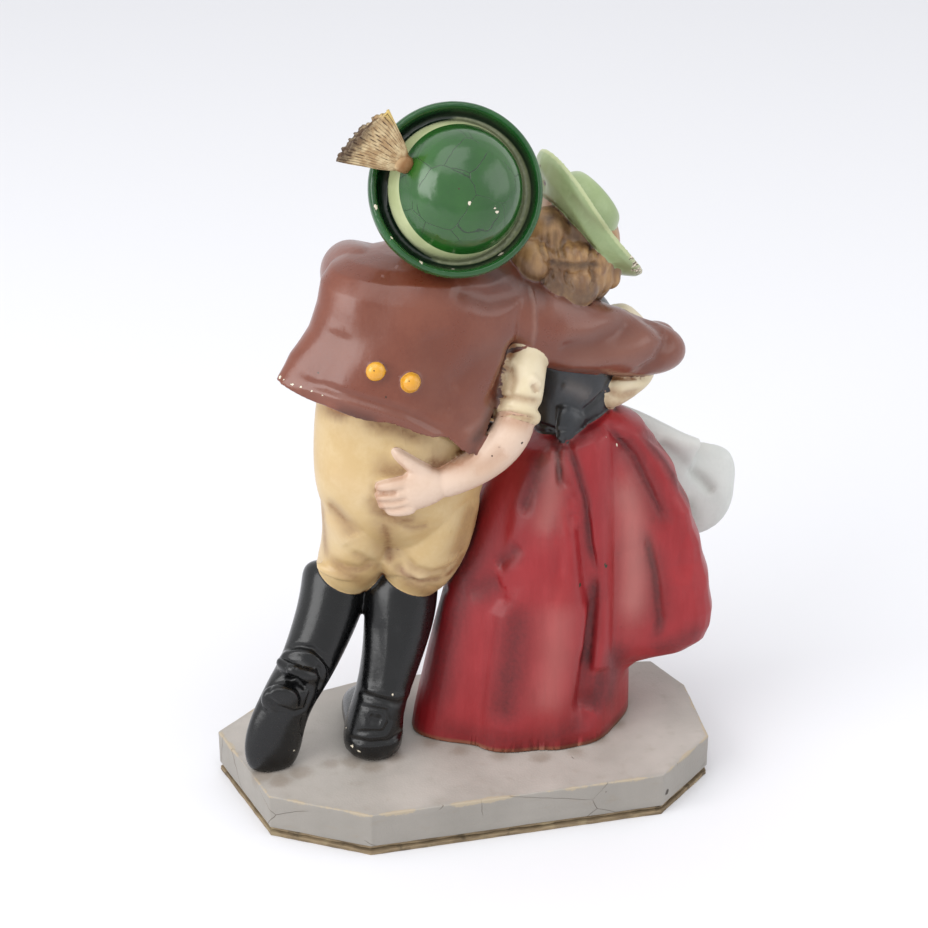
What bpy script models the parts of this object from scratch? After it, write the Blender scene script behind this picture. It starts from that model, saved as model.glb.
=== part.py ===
# A painted table figurine: a dancing couple, cast in one piece and glued to a long plinth with
# cut corners, with a thin board under it. A brush of hair stands in his hat.
# Metres, +Z up. The origin is the centre of the underside, +X runs from him to her along the
# plinth, and -Y is the side that the couple turn their backs to.
import bpy
import bmesh
import math
from mathutils import Matrix, Vector
from mathutils.bvhtree import BVHTree

# Driving sizes
COUPLE_HEIGHT = 0.266
PLINTH_LENGTH = 0.2002
PLINTH_WIDTH = 0.104
PLINTH_THICKNESS = 0.0150
PLINTH_EDGE = 0.0012
BOARD_THICKNESS = 0.0036
BOARD_MARGIN = 0.0003
GLUE_LINE = 0.0003
TUFT_LENGTH = 0.0200
TUFT_WIDTH = 0.026
TUFT_THICKNESS = 0.0085
TUFT_ROOT = 0.0032
TUFT_PLUG_DEPTH = 0.0035
TUFT_CLEARANCE = 0.0003
TUFT_SLANT = 0.14

PLINTH_BOTTOM = BOARD_THICKNESS + GLUE_LINE
PLINTH_TOP = PLINTH_BOTTOM + PLINTH_THICKNESS
SOLES = PLINTH_TOP + GLUE_LINE

# The couple keep their pose as shares of their height: one step is a 266th of it
STEP = COUPLE_HEIGHT / 266
COUPLE_OFF_MIDDLE = 1.1

# Grain at which the forms melt into one casting, and the faces that its surface keeps
GRAIN = STEP
SOFTENING_PASSES = 3
CAST_FACES = 9200


def at(x, y, z):
    """A place on the couple, in steps. They stand a little off the middle of the plinth."""
    return Vector(((x + COUPLE_OFF_MIDDLE) * STEP, y * STEP, SOLES + z * STEP))


def clear_scene():
    for obj in list(bpy.data.objects):
        bpy.data.objects.remove(obj)


def collection(name):
    made = bpy.data.collections.new(name)
    bpy.context.scene.collection.children.link(made)
    return made


def paint(name, colour, roughness):
    material = bpy.data.materials.new(name)
    material.use_nodes = True
    shader = material.node_tree.nodes["Principled BSDF"]
    shader.inputs["Base Color"].default_value = (*colour, 1)
    shader.inputs["Roughness"].default_value = roughness
    shader.inputs["Metallic"].default_value = 0
    return material


clear_scene()
figurine = collection("dancing_couple_figurine")
forms = collection("forms_and_cutters")

COAT = paint("coat_brown", (0.21, 0.075, 0.05), 0.35)
CLOTH = paint("breeches_cream", (0.68, 0.50, 0.24), 0.4)
BOOT = paint("boot_black", (0.012, 0.012, 0.014), 0.35)
SKIRT = paint("skirt_red", (0.38, 0.02, 0.025), 0.35)
BLOUSE = paint("blouse_cream", (0.72, 0.62, 0.46), 0.45)
SKIN = paint("skin_pink", (0.78, 0.60, 0.50), 0.4)
BODICE = paint("bodice_black", (0.03, 0.03, 0.035), 0.4)
APRON = paint("apron_white", (0.58, 0.60, 0.56), 0.4)
HAIR = paint("hair_brown", (0.24, 0.13, 0.075), 0.45)
HIS_HAT = paint("hat_dark_green", (0.02, 0.13, 0.04), 0.15)
HER_HAT = paint("hat_light_green", (0.27, 0.45, 0.20), 0.35)
BUTTON = paint("button_yellow", (0.80, 0.46, 0.03), 0.3)
TUFT = paint("tuft_straw", (0.50, 0.38, 0.22), 0.6)
PLINTH = paint("plinth_grey", (0.42, 0.40, 0.37), 0.5)
BOARD = paint("board_brown", (0.24, 0.18, 0.12), 0.8)


def keep(bm, name, material, group, levels=0):
    """Make a scene object of a finished mesh, smoothed by subdivision."""
    bmesh.ops.recalc_face_normals(bm, faces=bm.faces)
    mesh = bpy.data.meshes.new(name)
    bm.to_mesh(mesh)
    bm.free()
    mesh.materials.append(material)
    mesh.shade_smooth()
    obj = bpy.data.objects.new(name, mesh)
    group.objects.link(obj)
    if levels:
        smooth = obj.modifiers.new("Smooth", "SUBSURF")
        smooth.levels = smooth.render_levels = levels
    if group is forms:
        obj.hide_render = True
        obj.display_type = "WIRE"
    return obj


def loft(name, material, sections, levels=0, group=forms):
    """A closed form through sections that differ in shape, each a ring of as many points."""
    bm = bmesh.new()
    rings = [[bm.verts.new(point) for point in section] for section in sections]
    count = len(rings[0])
    for lower, upper in zip(rings, rings[1:]):
        for i in range(count):
            j = (i + 1) % count
            bm.faces.new((lower[i], lower[j], upper[j], upper[i]))
    bm.faces.new(rings[0])
    bm.faces.new(rings[-1])
    return keep(bm, name, material, group, levels)


def ring(centre, across, fore, count):
    turns = (math.tau * i / count for i in range(count))
    return [centre + across * math.cos(turn) + fore * math.sin(turn) for turn in turns]


def limb(name, material, stations, count=8, levels=2, face=(0, -1, 0)):
    """A limb through stations (x, y, z, half width, half thickness), its flat side towards face."""
    places = [at(*station[:3]) for station in stations]
    sections = []
    for i, (_, _, _, wide, thick) in enumerate(stations):
        along = places[min(i + 1, len(places) - 1)] - places[max(i - 1, 0)]
        across = along.cross(Vector(face)).normalized()
        fore = across.cross(along).normalized()
        sections.append(ring(places[i], across * wide * STEP, fore * thick * STEP, count))
    return loft(name, material, sections, levels)


def ball(name, material, centre, radii):
    bm = bmesh.new()
    bmesh.ops.create_uvsphere(bm, u_segments=24, v_segments=16, radius=1)
    scale = Matrix.Diagonal((*(radius * STEP for radius in radii), 1))
    bmesh.ops.transform(bm, matrix=Matrix.Translation(at(*centre)) @ scale, verts=bm.verts)
    return keep(bm, name, material, forms)


def turned(name, material, profile, centre, axis, steps):
    """A turned form: a profile of (radius, height) swept round an axis through centre."""
    bm = bmesh.new()
    verts = [bm.verts.new((radius * STEP, 0, height * STEP)) for radius, height in reversed(profile)]
    for first, second in zip(verts, verts[1:]):
        bm.edges.new((first, second))
    obj = keep(bm, name, material, forms)
    obj.location = at(*centre)
    obj.rotation_euler = Vector(axis).to_track_quat("Z", "Y").to_euler()
    screw = obj.modifiers.new("Turn", "SCREW")
    screw.steps = screw.render_steps = steps
    screw.use_merge_vertices = True
    screw.merge_threshold = 0.00005
    return obj


# Skirt: a bell that stands on the ground, but swings out and hangs free at its right side
WAIST_HEIGHT = 131
WAIST_REACH = 16
SKIRT_SIDES = 112
SKIRT_HEIGHTS = (-3, 6, 12, 18, 23, 27, 30, 33, 38, 44, 51, 58, 65, 72, 79, 86, 93, 100, 107, 113, 119,
                 124, 128, 131)
# Degrees round from +X, reach on the ground, fullness: a small one fills out under the waist
SKIRT_REACH = ((-180, 64, 0.50), (-152, 46, 0.42), (-116, 34, 0.34), (-90, 31, 0.30),
               (-45, 27, 0.30), (0, 30, 0.36), (45, 32, 0.40), (90, 34, 0.5), (135, 48, 0.5),
               (180, 64, 0.5))
# Height and reach of the part that swings out
SWING = ((0, 20), (12, 23), (22, 28), (28, 34), (31, 45), (34, 54), (39, 59), (47, 61.5), (62, 59),
         (78, 54.5), (90, 50), (105, 43), (122, 32), (128, 22), (131, 16))
SWING_FROM, SWING_FULL, SWING_EASES, SWING_TO = -58, -24, 35, 80
# The waist slopes up to her right side by this much
WAIST_SLOPE = 5
# Folds: depth, half width, and a path of (height, degrees round from +X)
SKIRT_FOLDS = (
    (4.6, 3.8, ((126, -124), (113, -114), (102, -102), (89, -93), (71, -88), (57, -81), (46, -82),
                (34, -87), (20, -89), (6, -88))),
    (2.6, 3.0, ((126, -136), (112, -127), (97, -118), (82, -113), (66, -110))),
    (4.2, 3.8, ((126, -44), (114, -40), (102, -40.5), (88, -38), (73, -33), (60, -28))),
    (4.4, 4.2, ((88, -48), (73, -43), (54, -41), (34, -40.5), (22, -41))),
    (2.8, 4.4, ((78, -140), (70, -144), (64, -151), (56, -160))),
    (2.6, 4.0, ((124, 35), (20, 33))),
    (2.8, 4.4, ((124, 64), (6, 58))),
    (2.6, 4.4, ((124, 94), (6, 92))),
    (2.8, 4.4, ((124, 122), (6, 124))),
    (2.6, 4.4, ((124, 150), (6, 148))),
)
FOLD_ENDS = 12


def eased(share):
    share = min(1.0, max(0.0, share))
    return share * share * (3 - 2 * share)


def around(table, degrees):
    """The values between two rows of a table that goes round the body."""
    for (a, *low), (b, *high) in zip(table, table[1:]):
        if degrees <= b:
            share = eased((degrees - a) / (b - a))
            return [first + (second - first) * share for first, second in zip(low, high)]
    return table[-1][1:]


def swing_share(degrees):
    rise = eased((degrees - SWING_FROM) / (SWING_FULL - SWING_FROM))
    return rise * (1 - eased((degrees - SWING_EASES) / (SWING_TO - SWING_EASES)))


def fold_depth(degrees, height, reach):
    """How far the folds draw the skirt in at this place."""
    depth = 0
    for deepest, half_width, path in SKIRT_FOLDS:
        top, bottom = path[0][0], path[-1][0]
        if not bottom < height < top:
            continue
        path_degrees = around(path[::-1], height)[0]
        gap = (degrees - path_degrees + 180) % 360 - 180
        aside = math.radians(gap) * reach / half_width
        ends = eased((top - height) / FOLD_ENDS) * eased((height - bottom) / FOLD_ENDS)
        depth += deepest * ends * math.exp(-aside ** 2)
    return depth


def skirt_reach(degrees, height):
    """Distance from the skirt's axis, in steps, at this angle and height."""
    ground, fullness = around(SKIRT_REACH, degrees)
    fall = min(1.0, max(0.0, 1 - height / WAIST_HEIGHT))
    reach = WAIST_REACH + (ground - WAIST_REACH) * fall ** fullness
    out = around(SWING, height)[0]
    reach += max(0.0, out - reach) * swing_share(degrees)
    return reach - fold_depth(degrees, height, reach)


def skirt():
    sections = []
    for height in SKIRT_HEIGHTS:
        up = height / WAIST_HEIGHT
        section = []
        for j in range(SKIRT_SIDES):
            degrees = -180 + 360 * j / SKIRT_SIDES
            reach = skirt_reach(degrees, height)
            turn = math.radians(degrees)
            x = 41 + 4 * up + reach * math.cos(turn)
            y = 8 + 5 * up + reach * math.sin(turn)
            section.append(at(x, y, height + WAIST_SLOPE * up ** 3 * math.cos(turn)))
        sections.append(section)
    return loft("skirt", SKIRT, sections)


def apron():
    """The apron's free side, a thick leaf of cloth blown out behind the swing."""
    leaf = ((50, 30, 124, 9, 5), (66, 29, 119, 13, 6), (84, 28, 97, 23, 6), (97, 28, 84, 28, 6),
            (107, 29, 84.5, 24.5, 6), (114, 30, 90, 17, 5), (120, 31, 93, 11, 4.4),
            (124.2, 31.5, 93.5, 5, 3))
    limb("apron", APRON, leaf, count=10, face=(-0.3, -1, 0.1))
    limb("apron_front", APRON, ((46, 26, 130, 17, 6), (52, 36, 112, 22, 6), (60, 42, 90, 28, 6),
                                (66, 44, 66, 30, 6), (68, 43, 50, 24, 4)), count=10)


def trunk_of_her():
    limb("bodice", BODICE, ((45, 13, 122, 15, 11), (45, 14, 132, 16.5, 13), (45, 15, 146, 18, 14),
                            (46, 17, 162, 20, 15), (46, 19, 176, 17, 13), (46, 20, 184, 9, 8)), count=12)
    point = ((44, 4, 139, 9, 4), (39.5, 0.5, 133, 7, 3.2), (35.5, -2.6, 127.4, 3, 2.2))
    limb("bodice_point", BODICE, point, count=8)
    limb("her_neck", SKIN, ((46, 20, 178, 8, 8), (47, 21, 190, 6.5, 6.5), (47, 22, 198, 7, 7)), count=10)


def arms_of_her():
    limb("left_puff", BLOUSE, ((30, 13, 175, 8, 8), (23, 5, 169, 10.5, 10), (18, -5, 161, 10.5, 10),
                               (16, -11, 153, 9.6, 9.2), (15, -13, 148.5, 8.4, 8.2)), count=10)
    limb("left_cuff", BLOUSE, ((15.4, -12.4, 150, 9.2, 9), (14.2, -14.2, 146.4, 9.6, 9.2),
                               (13.4, -15.4, 144, 8.6, 8.4)), count=12)
    limb("left_forearm", SKIN, ((15, -12, 149, 8.2, 8), (12, -17, 142, 8.6, 8), (5, -19, 135, 8.6, 8),
                                (-5, -20, 129, 7.6, 6.8), (-15, -20.5, 125.5, 6.4, 5.6),
                                (-20, -20.5, 124.5, 6.0, 5)), count=10)
    limb("left_palm", SKIN, ((-16, -20.5, 125.5, 6.2, 5), (-22, -21, 125, 8.2, 4.6),
                             (-28, -20.5, 123.5, 8.8, 4.2), (-32, -20, 122.5, 7.6, 3.6)), count=10)
    for i, (tip_x, tip_z) in enumerate(((-42.5, 125.8), (-42.8, 121.6), (-41.8, 118.2), (-39.0, 115.4))):
        root = 128.2 - 4.0 * i
        middle = (root + tip_z) / 2
        finger = ((-27, -20.6, root, 2.6, 2.8), (-34, -20.2, middle, 2.7, 2.9),
                  (tip_x + 1.6, -18.6, tip_z, 2.3, 2.4), (tip_x, -18.2, tip_z, 1.2, 1.3))
        limb(f"left_finger_{i + 1}", SKIN, finger, count=8)
    limb("left_thumb", SKIN, ((-20, -20.6, 128, 3.8, 3.8), (-27, -20.2, 132.5, 3.2, 3.4),
                              (-33, -18.6, 138, 2.6, 2.8), (-35.6, -17.6, 140.8, 1.5, 1.7)), count=8)
    limb("right_puff", BLOUSE, ((60, 18, 172, 9, 9), (68, 20, 162, 12, 11), (73, 22, 152, 12, 11),
                                (76, 24, 143, 9, 8.5)), count=10)
    limb("right_knot", BLOUSE, ((55, 6, 139, 5, 4), (62, 8, 143, 7.0, 6), (71, 12, 146, 7.6, 6.6),
                                (79, 16, 149, 5.4, 5)), count=8)
    limb("right_forearm", SKIN, ((76, 24, 146, 7.6, 7.4), (75, 34, 138, 7.2, 7), (68, 42, 132, 6.2, 5.8),
                                 (62, 45, 129, 6.8, 5), (55, 46, 127, 4.6, 3.6)), count=8)


def head_of_her():
    limb("her_head", SKIN, ((60, 24, 190, 10, 10), (52, 24, 196, 16, 17), (44, 24, 204, 18, 18),
                            (40, 24, 213, 16, 16), (38, 24, 221, 9, 9)), count=10, face=(0, -1, 0.2))
    limb("her_face", SKIN, ((44, 24, 198, 9, 9), (33, 25, 201, 11, 12), (27, 26, 203, 9, 11),
                            (24, 26, 204, 4, 6)), count=8)
    ball("her_hair", HAIR, (46.4, 22, 202), (19, 18.5, 17))
    ball("hair_side", HAIR, (33.5, 14, 206), (11, 10, 13))
    ball("lock_over", HAIR, (40.5, 4.6, 201.0), (10.6, 6.6, 6.4))
    ball("lock_side", HAIR, (34.0, 4.6, 192.4), (6.0, 6.4, 6.4))
    ball("lock_under", HAIR, (43.0, 4.4, 189.8), (8.6, 7.4, 7.6))
    for i in range(3):
        x = 51.6 + 3.7 * i
        near = 4.6 + 1.6 * i
        thin_lock = ((x - 1.6, near + 4, 206 - i, 1.8, 3.0), (x + 1.2, near, 201 - i, 2.6, 4.0),
                     (x + 0.4, near + 1, 196 - i, 2.2, 3.6), (x + 1.6, near + 0.6, 190 - 0.6 * i, 2.6, 4.2),
                     (x - 1.6, near + 3, 184 + i, 1.8, 3.0))
        limb(f"thin_lock_{i + 1}", HAIR, thin_lock, count=8)
    limb("her_hair_nape", HAIR, ((32, 18, 184, 6, 6), (44, 15, 184, 9, 8), (56, 16, 187, 8, 8),
                                 (61, 19, 191, 5, 6)), count=8)


# Her hat sits on a slant: this is the way its crown points
HER_HAT_AXIS = Vector((0.80, 0.12, 0.58)).normalized()
HER_HAT_PLACE = (48.5, 21, 208.5)


# Its brim is a boat: long from the front end to the tip, and turned up less at the near side
HER_BRIM_LONG = Vector((0.667, 0, -0.745))
HER_BRIM_LONG = (HER_BRIM_LONG - HER_HAT_AXIS * HER_BRIM_LONG.dot(HER_HAT_AXIS)).normalized()
HER_BRIM_FAR = HER_HAT_AXIS.cross(HER_BRIM_LONG)
HER_BRIM_SIDES = 48
# Share of the brim's reach, then height on the axis or height under the brim's edge
HER_BRIM_ROWS = ((0.2, -3.6, 0), (0.62, -3.4, 0), (0.82, 0, 8.0), (0.97, 0, 3.5), (1.0, 0, 0.8),
                 (0.975, 0, 0), (0.92, 0, 1.0), (0.80, 0, 4.4), (0.66, 1.4, 0), (0.2, 1.4, 0))


def her_brim_place(degrees, row):
    """A point of the brim. Zero degrees is the tip, and below zero is the near side."""
    share, height, under_edge = row
    turn = math.radians(degrees)
    reach = 1 / math.hypot(math.cos(turn) / 32.4, math.sin(turn) / 24)
    edge = 8.2 - 3.6 * max(0.0, -math.sin(turn)) ** 2
    if under_edge or share > 0.9:
        height = edge - under_edge
    across = (HER_BRIM_LONG * math.cos(turn) + HER_BRIM_FAR * math.sin(turn)) * share * reach
    return at(*(Vector(HER_HAT_PLACE) + across + HER_HAT_AXIS * height))


def hat_of_her():
    sections = [[her_brim_place(-180 + 360 * i / HER_BRIM_SIDES, row) for i in range(HER_BRIM_SIDES)]
                for row in HER_BRIM_ROWS]
    loft("her_hat_brim", HER_HAT, sections)
    crown = ((0, -2), (16.4, -2), (16.0, 3), (15.2, 8.4), (12.8, 13.2), (10.8, 14.6), (0, 15.2))
    middle = Vector(HER_HAT_PLACE) - HER_BRIM_LONG * 3.6
    turned("her_hat_crown", HER_HAT, crown, middle, HER_HAT_AXIS, 48)


def trunk_of_him():
    limb("hips", CLOTH, ((-28, 8, 170, 27, 18), (-28, 6, 156, 32, 22), (-27.5, 5, 140, 34.5, 25),
                         (-27, 5, 124, 35.4, 26), (-27, 6, 111, 34, 25), (-28, 9, 100, 28, 20),
                         (-28, 12, 92, 18, 13)), count=14)
    limb("left_thigh", CLOTH, ((-42, 7, 120, 18, 21), (-42.5, 8, 104, 16.2, 19), (-43, 11, 92, 15.0, 17),
                               (-44.4, 15, 81, 14.4, 15), (-46.2, 20, 73, 13.6, 13.4),
                               (-47.6, 25, 67, 10, 10)), count=12)
    limb("right_thigh", CLOTH, ((-11, 5, 120, 18, 21), (-13.5, 5, 104, 18, 20), (-15.5, 6, 92, 18, 18),
                                (-18, 8, 82, 17, 16), (-20.6, 11, 74, 15.6, 14.8),
                                (-23.6, 15, 67, 11, 11)), count=12)
    limb("hip_side", CLOTH, ((-4, 6, 158, 12, 12), (0, 6, 146, 12, 12), (2, 6, 132, 11, 11)), count=10)
    for side, (x, y, z, wide) in enumerate(((-46.6, 12, 79.5, 14.2), (-19.6, 4, 80.5, 16.2))):
        fold = ((x - wide, y, z + 1, 2.0, 2.2), (x - wide * 0.5, y - 8, z - 1, 3.0, 3.0),
                (x + wide * 0.3, y - 9, z - 2, 3.2, 3.2), (x + wide, y, z - 1, 2.0, 2.2))
        limb(f"knee_fold_{side + 1}", CLOTH, fold, count=8, face=(0, 0, 1))


def boots():
    left_boot = ((-48.6, 28, 72, 11.6, 11.0), (-49.6, 25, 68.5, 14.6, 13.8), (-51.2, 22, 63, 14.4, 13.6),
                 (-55.4, 17, 54, 13.4, 13.0), (-63, 10, 42.5, 12.0, 12.0), (-69.0, 4.6, 35.5, 11.2, 11.2),
                 (-73.4, 2, 31, 11.0, 11), (-77.4, 0, 25, 11.2, 9.6), (-81.0, -1.6, 18, 12.2, 7.6),
                 (-83.4, -3, 10, 12.6, 7.0), (-84.4, -3.8, 4, 11.4, 6.2), (-84.8, -4.2, -2, 8.6, 4.6))
    limb("left_boot", BOOT, left_boot, count=12, face=(0.1, -1, 0.15))
    limb("left_heel", BOOT, ((-79.4, -3.0, 33, 8.0, 7.4), (-80.4, -7.5, 32.0, 8.4, 7.8),
                             (-80.8, -9.6, 31.6, 7.6, 7.0)), count=10, face=(0.1, -0.2, 1))
    left_fold = ((-79, 5.6, 43, 2.2, 2.4), (-75, -4.4, 42.5, 3.0, 3.2), (-66, -6.0, 39.5, 3.2, 3.4),
                 (-59, 3.4, 33.5, 2.2, 2.4))
    limb("left_ankle_fold", BOOT, left_fold, count=8, face=(0, 0, 1))
    right_boot = ((-23.8, 18, 70.5, 12, 11.4), (-24.4, 15.5, 67, 15.4, 14), (-25.6, 12.5, 61.5, 15.4, 13.8),
                  (-27.4, 10, 53, 15.2, 13.8), (-31, 5, 42, 13.2, 12.8), (-35.8, 1, 29, 11.4, 11.6),
                  (-39.4, -1, 19.5, 11.2, 11.4), (-42.0, -2.8, 11, 12.8, 11.8), (-43.0, -3.2, -3, 13.2, 12))
    limb("right_boot", BOOT, right_boot, count=12)
    right_foot = ((-42.6, -14, 6.0, 8.6, 5.0), (-42.2, -8, 7.4, 11.8, 7.2), (-41, 6, 8.2, 11.6, 8.0),
                  (-38.4, 20, 6.6, 12.4, 6.4), (-36.6, 31, 5.2, 11.2, 5.0), (-36.4, 38, 4.2, 6.2, 3.4))
    limb("right_foot", BOOT, right_foot, count=12, face=(0, 0, 1))
    right_fold = ((-51, 1, 18, 2.2, 2.4), (-46, -10, 17.5, 3.0, 3.2), (-35.4, -11.4, 17, 3.0, 3.2),
                  (-29.2, 0, 19, 2.2, 2.4))
    limb("right_ankle_fold", BOOT, right_fold, count=8, face=(0, 0, 1))


# Coat: a bell of cloth from the shoulders, cut away at the left tip and the right corner
COAT_SIDES = 64
# Share of the way up, middle x and y, half width, half depth
COAT_BODY = ((0.00, -28, 2, 38, 27), (0.16, -27, 3, 38.5, 27.5), (0.34, -22.5, 4, 38.5, 27),
             (0.54, -17.5, 6, 40, 26), (0.74, -15, 8, 40.5, 25), (0.88, -15.5, 10, 36, 22.5),
             (0.96, -16.5, 12, 28, 18), (1.00, -18, 13, 14, 10))
# Degrees round from +X, height of the hem, flare beyond the body
COAT_HEM = ((-180, 165, 9), (-150, 160, 2), (-110, 155, 2), (-78, 147, 3), (-58, 136, 5),
            (-34, 151, 3), (-18, 160, 3), (20, 166, 2), (60, 160, 3), (120, 158, 3), (160, 164, 5),
            (180, 165, 9))
COAT_TOP = 208
# Share of the hem's reach, and height, of the lining that closes the coat below
COAT_LINING = (0.72, 154)


def coat():
    """Closed below by a lining set in from the hem, so that the hem reads as thick cloth."""
    sections = []
    for share, x, y, wide, deep in (COAT_BODY[0], *COAT_BODY):
        lining = not sections
        section = []
        for j in range(COAT_SIDES):
            degrees = -180 + 360 * j / COAT_SIDES
            hem, flare = around(COAT_HEM, degrees)
            turn = math.radians(degrees)
            out = 1 + flare * max(0.0, 1 - share * 2.6) ** 1.6 / wide
            height = hem + (COAT_TOP - hem) * share - 4 * math.cos(turn) * math.sin(math.pi * share)
            if lining:
                out, height = COAT_LINING
            section.append(at(x + wide * out * math.cos(turn), y + deep * out * math.sin(turn), height))
        sections.append(section)
    loft("coat", COAT, sections)


def arms_of_him():
    right_sleeve = ((2, 8, 190, 17, 15), (16, 6, 182, 17.6, 15), (30, 5, 174, 16.6, 14),
                    (46, 7, 168, 15.0, 14), (60, 9, 163, 13.8, 13.6), (74, 11, 158.4, 12.0, 12.6),
                    (86, 14, 155.4, 9.4, 9.8), (90.6, 17, 154.2, 4, 5))
    limb("right_sleeve", COAT, right_sleeve, count=12)
    limb("right_cuff", COAT, ((84, 15, 157, 9, 10), (85, 28, 153, 10.2, 10.2), (79, 41, 147, 9.6, 9.6),
                              (68, 49, 142, 9.2, 9)), count=10, face=(0, 0, 1))
    limb("right_hand", SKIN, ((72, 47, 143, 6, 5.6), (62, 50, 139, 7.6, 4.6), (52, 47, 136, 7, 4),
                              (47, 43, 135, 4, 2.6)), count=8, face=(0, 0, 1))
    left_sleeve = ((-36, 8, 194, 13, 14), (-38.5, 20, 194.5, 13.6, 15), (-40, 36, 193, 12.6, 13),
                   (-34, 48, 190, 11, 11), (-22, 54, 186, 9.6, 9.6), (-12, 54, 185, 9, 9))
    limb("left_sleeve", COAT, left_sleeve, count=12, face=(0, 0, 1))
    limb("left_hand", SKIN, ((-14, 54, 185, 6, 5.4), (-5, 53, 186, 7.4, 4.6), (4, 50, 187, 6.6, 4),
                             (8, 48, 188, 3.6, 2.6)), count=8, face=(0, 0, 1))
    limb("shirt_front", BLOUSE, ((-16, 26, 168, 12, 9), (-14, 28, 184, 14, 10), (-13, 28, 198, 11, 9),
                                 (-12, 25, 208, 7, 7)), count=10)


# His hat has its crown towards the viewer, the way his bowed head points
HIS_HAT_AXIS = Vector((-0.087, -0.904, 0.418)).normalized()
HIS_CROWN_AXIS = (HIS_HAT_AXIS + Vector((0.14, 0, -0.04))).normalized()
HIS_HAT_PLACE = (-6.6, 2, 231.8)


def head_of_him():
    neck = ((-16, 12, 200, 12, 11), (-12, 16, 212, 10.5, 10), (-8, 19, 222, 10, 10))
    limb("his_neck", SKIN, neck, count=10)
    ball("his_head", SKIN, (-4, 17, 227), (19, 18, 19))
    limb("his_face", SKIN, ((2, 20, 223, 12, 13), (11, 23, 220, 11, 12), (16, 25, 218, 8, 9),
                            (18, 26, 217, 3.6, 4.4)), count=8)
    ball("his_hair", HAIR, (-6, 12, 226), (20.5, 16, 20))
    brim = ((0, -1.5), (24, -1.5), (30.2, 0.6), (32.6, 5.0), (32.2, 9.4), (30.4, 10.4), (29.2, 8.8),
            (28.4, 4.6), (27.2, 3.6), (0, 3.4))
    turned("his_hat_brim", HIS_HAT, brim, HIS_HAT_PLACE, HIS_HAT_AXIS, 64)
    crown = ((0, 0), (26.4, 0), (26.2, 3.6), (24.0, 10), (23.6, 10.6), (23.0, 12), (21.4, 17.4),
             (17.2, 23.4), (9.8, 27.2), (0, 28.4))
    turned("his_hat_crown", HIS_HAT, crown, HIS_HAT_PLACE, HIS_CROWN_AXIS, 64)


def buttons():
    for i, (x, y, z) in enumerate(((-42.6, -22.6, 174.6), (-29.6, -24.4, 169.4))):
        ball(f"coat_button_{i + 1}", BUTTON, (x, y, z), (3.8, 3.0, 3.8))


def tuft_axis():
    """The way the brush leans out of the hat, and the way it faces."""
    lean = Vector((-0.80, 0.06, 0.60)).normalized()
    face = Vector((-0.16, -0.95, 0.26))
    return lean, (face - lean * face.dot(lean)).normalized()


TUFT_FOOT = (-27.5, -7.4, 247.4)


def tuft():
    """A flat brush that fans out from a round plug set in the hat's rim, cut off aslant."""
    lean, face = tuft_axis()
    side = lean.cross(face)
    foot = at(*TUFT_FOOT)
    sections = []
    spread = TUFT_WIDTH / 2 - TUFT_ROOT
    depth = TUFT_THICKNESS / 2 - TUFT_ROOT
    for share in (-TUFT_PLUG_DEPTH / TUFT_LENGTH, 0.0, 0.18, 0.4, 0.65, 0.86, 1.0):
        open_share = max(0.0, share) ** 0.8
        wide = TUFT_ROOT + spread * open_share
        thick = TUFT_ROOT + depth * open_share
        section = []
        for point in ring(foot, side * wide, face * thick, 16):
            edge = (point - foot).dot(side) / wide
            rise = TUFT_LENGTH * share * (1 - 0.06 * edge ** 2 - TUFT_SLANT * edge)
            section.append(point + lean * rise)
        sections.append(section)
    return loft("hat_tuft", TUFT, sections, group=figurine)


def tuft_socket():
    """The hole that the brush's plug stands in, a clearance wider and deeper than the plug."""
    lean, _ = tuft_axis()
    bm = bmesh.new()
    radius = TUFT_ROOT + TUFT_CLEARANCE
    depth = TUFT_PLUG_DEPTH + TUFT_CLEARANCE + TUFT_LENGTH * 0.5
    bmesh.ops.create_cone(
        bm, cap_ends=True, segments=16, radius1=radius, radius2=radius * 2.2, depth=depth
    )
    turn = lean.to_track_quat("Z", "Y").to_matrix().to_4x4()
    middle = at(*TUFT_FOOT) + lean * (depth / 2 - TUFT_PLUG_DEPTH - TUFT_CLEARANCE)
    bmesh.ops.transform(bm, matrix=Matrix.Translation(middle) @ turn, verts=bm.verts)
    return keep(bm, "tuft_socket", TUFT, forms)


# Corners of the plinth as shares of its half length and half width, round from the far left
PLINTH_CORNERS = ((-1.0, 0.54), (-0.884, -0.467), (-0.528, -0.923), (0.668, -1.0), (0.951, -0.563),
                  (1.0, 0.22), (0.931, 0.66), (0.308, 0.93), (-0.355, 1.0), (-0.82, 0.82))


def slab(name, material, bottom, thickness, inset, edge):
    bm = bmesh.new()
    half = Vector((PLINTH_LENGTH / 2 - inset, PLINTH_WIDTH / 2 - inset))
    verts = [bm.verts.new((x * half.x, y * half.y, bottom)) for x, y in PLINTH_CORNERS]
    face = bm.faces.new(verts)
    made = bmesh.ops.extrude_face_region(bm, geom=[face])
    top = [item for item in made["geom"] if isinstance(item, bmesh.types.BMVert)]
    bmesh.ops.translate(bm, verts=top, vec=(0, 0, thickness))
    obj = keep(bm, name, material, figurine)
    if edge:
        bevel = obj.modifiers.new("Worn edge", "BEVEL")
        bevel.width = edge
        bevel.segments = 2
        bevel.limit_method = "ANGLE"
        bevel.angle_limit = math.radians(25)
    return obj


def ground():
    """A block up to the soles' level, which cuts the boots and the hem flat."""
    bm = bmesh.new()
    bmesh.ops.create_cube(bm, size=1)
    depth = 20 * STEP
    size = Matrix.Diagonal((PLINTH_LENGTH * 2, PLINTH_WIDTH * 2, depth, 1))
    middle = Matrix.Translation((0, 0, SOLES - depth / 2))
    bmesh.ops.transform(bm, matrix=middle @ size, verts=bm.verts)
    return keep(bm, "ground", PLINTH, forms)


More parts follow.
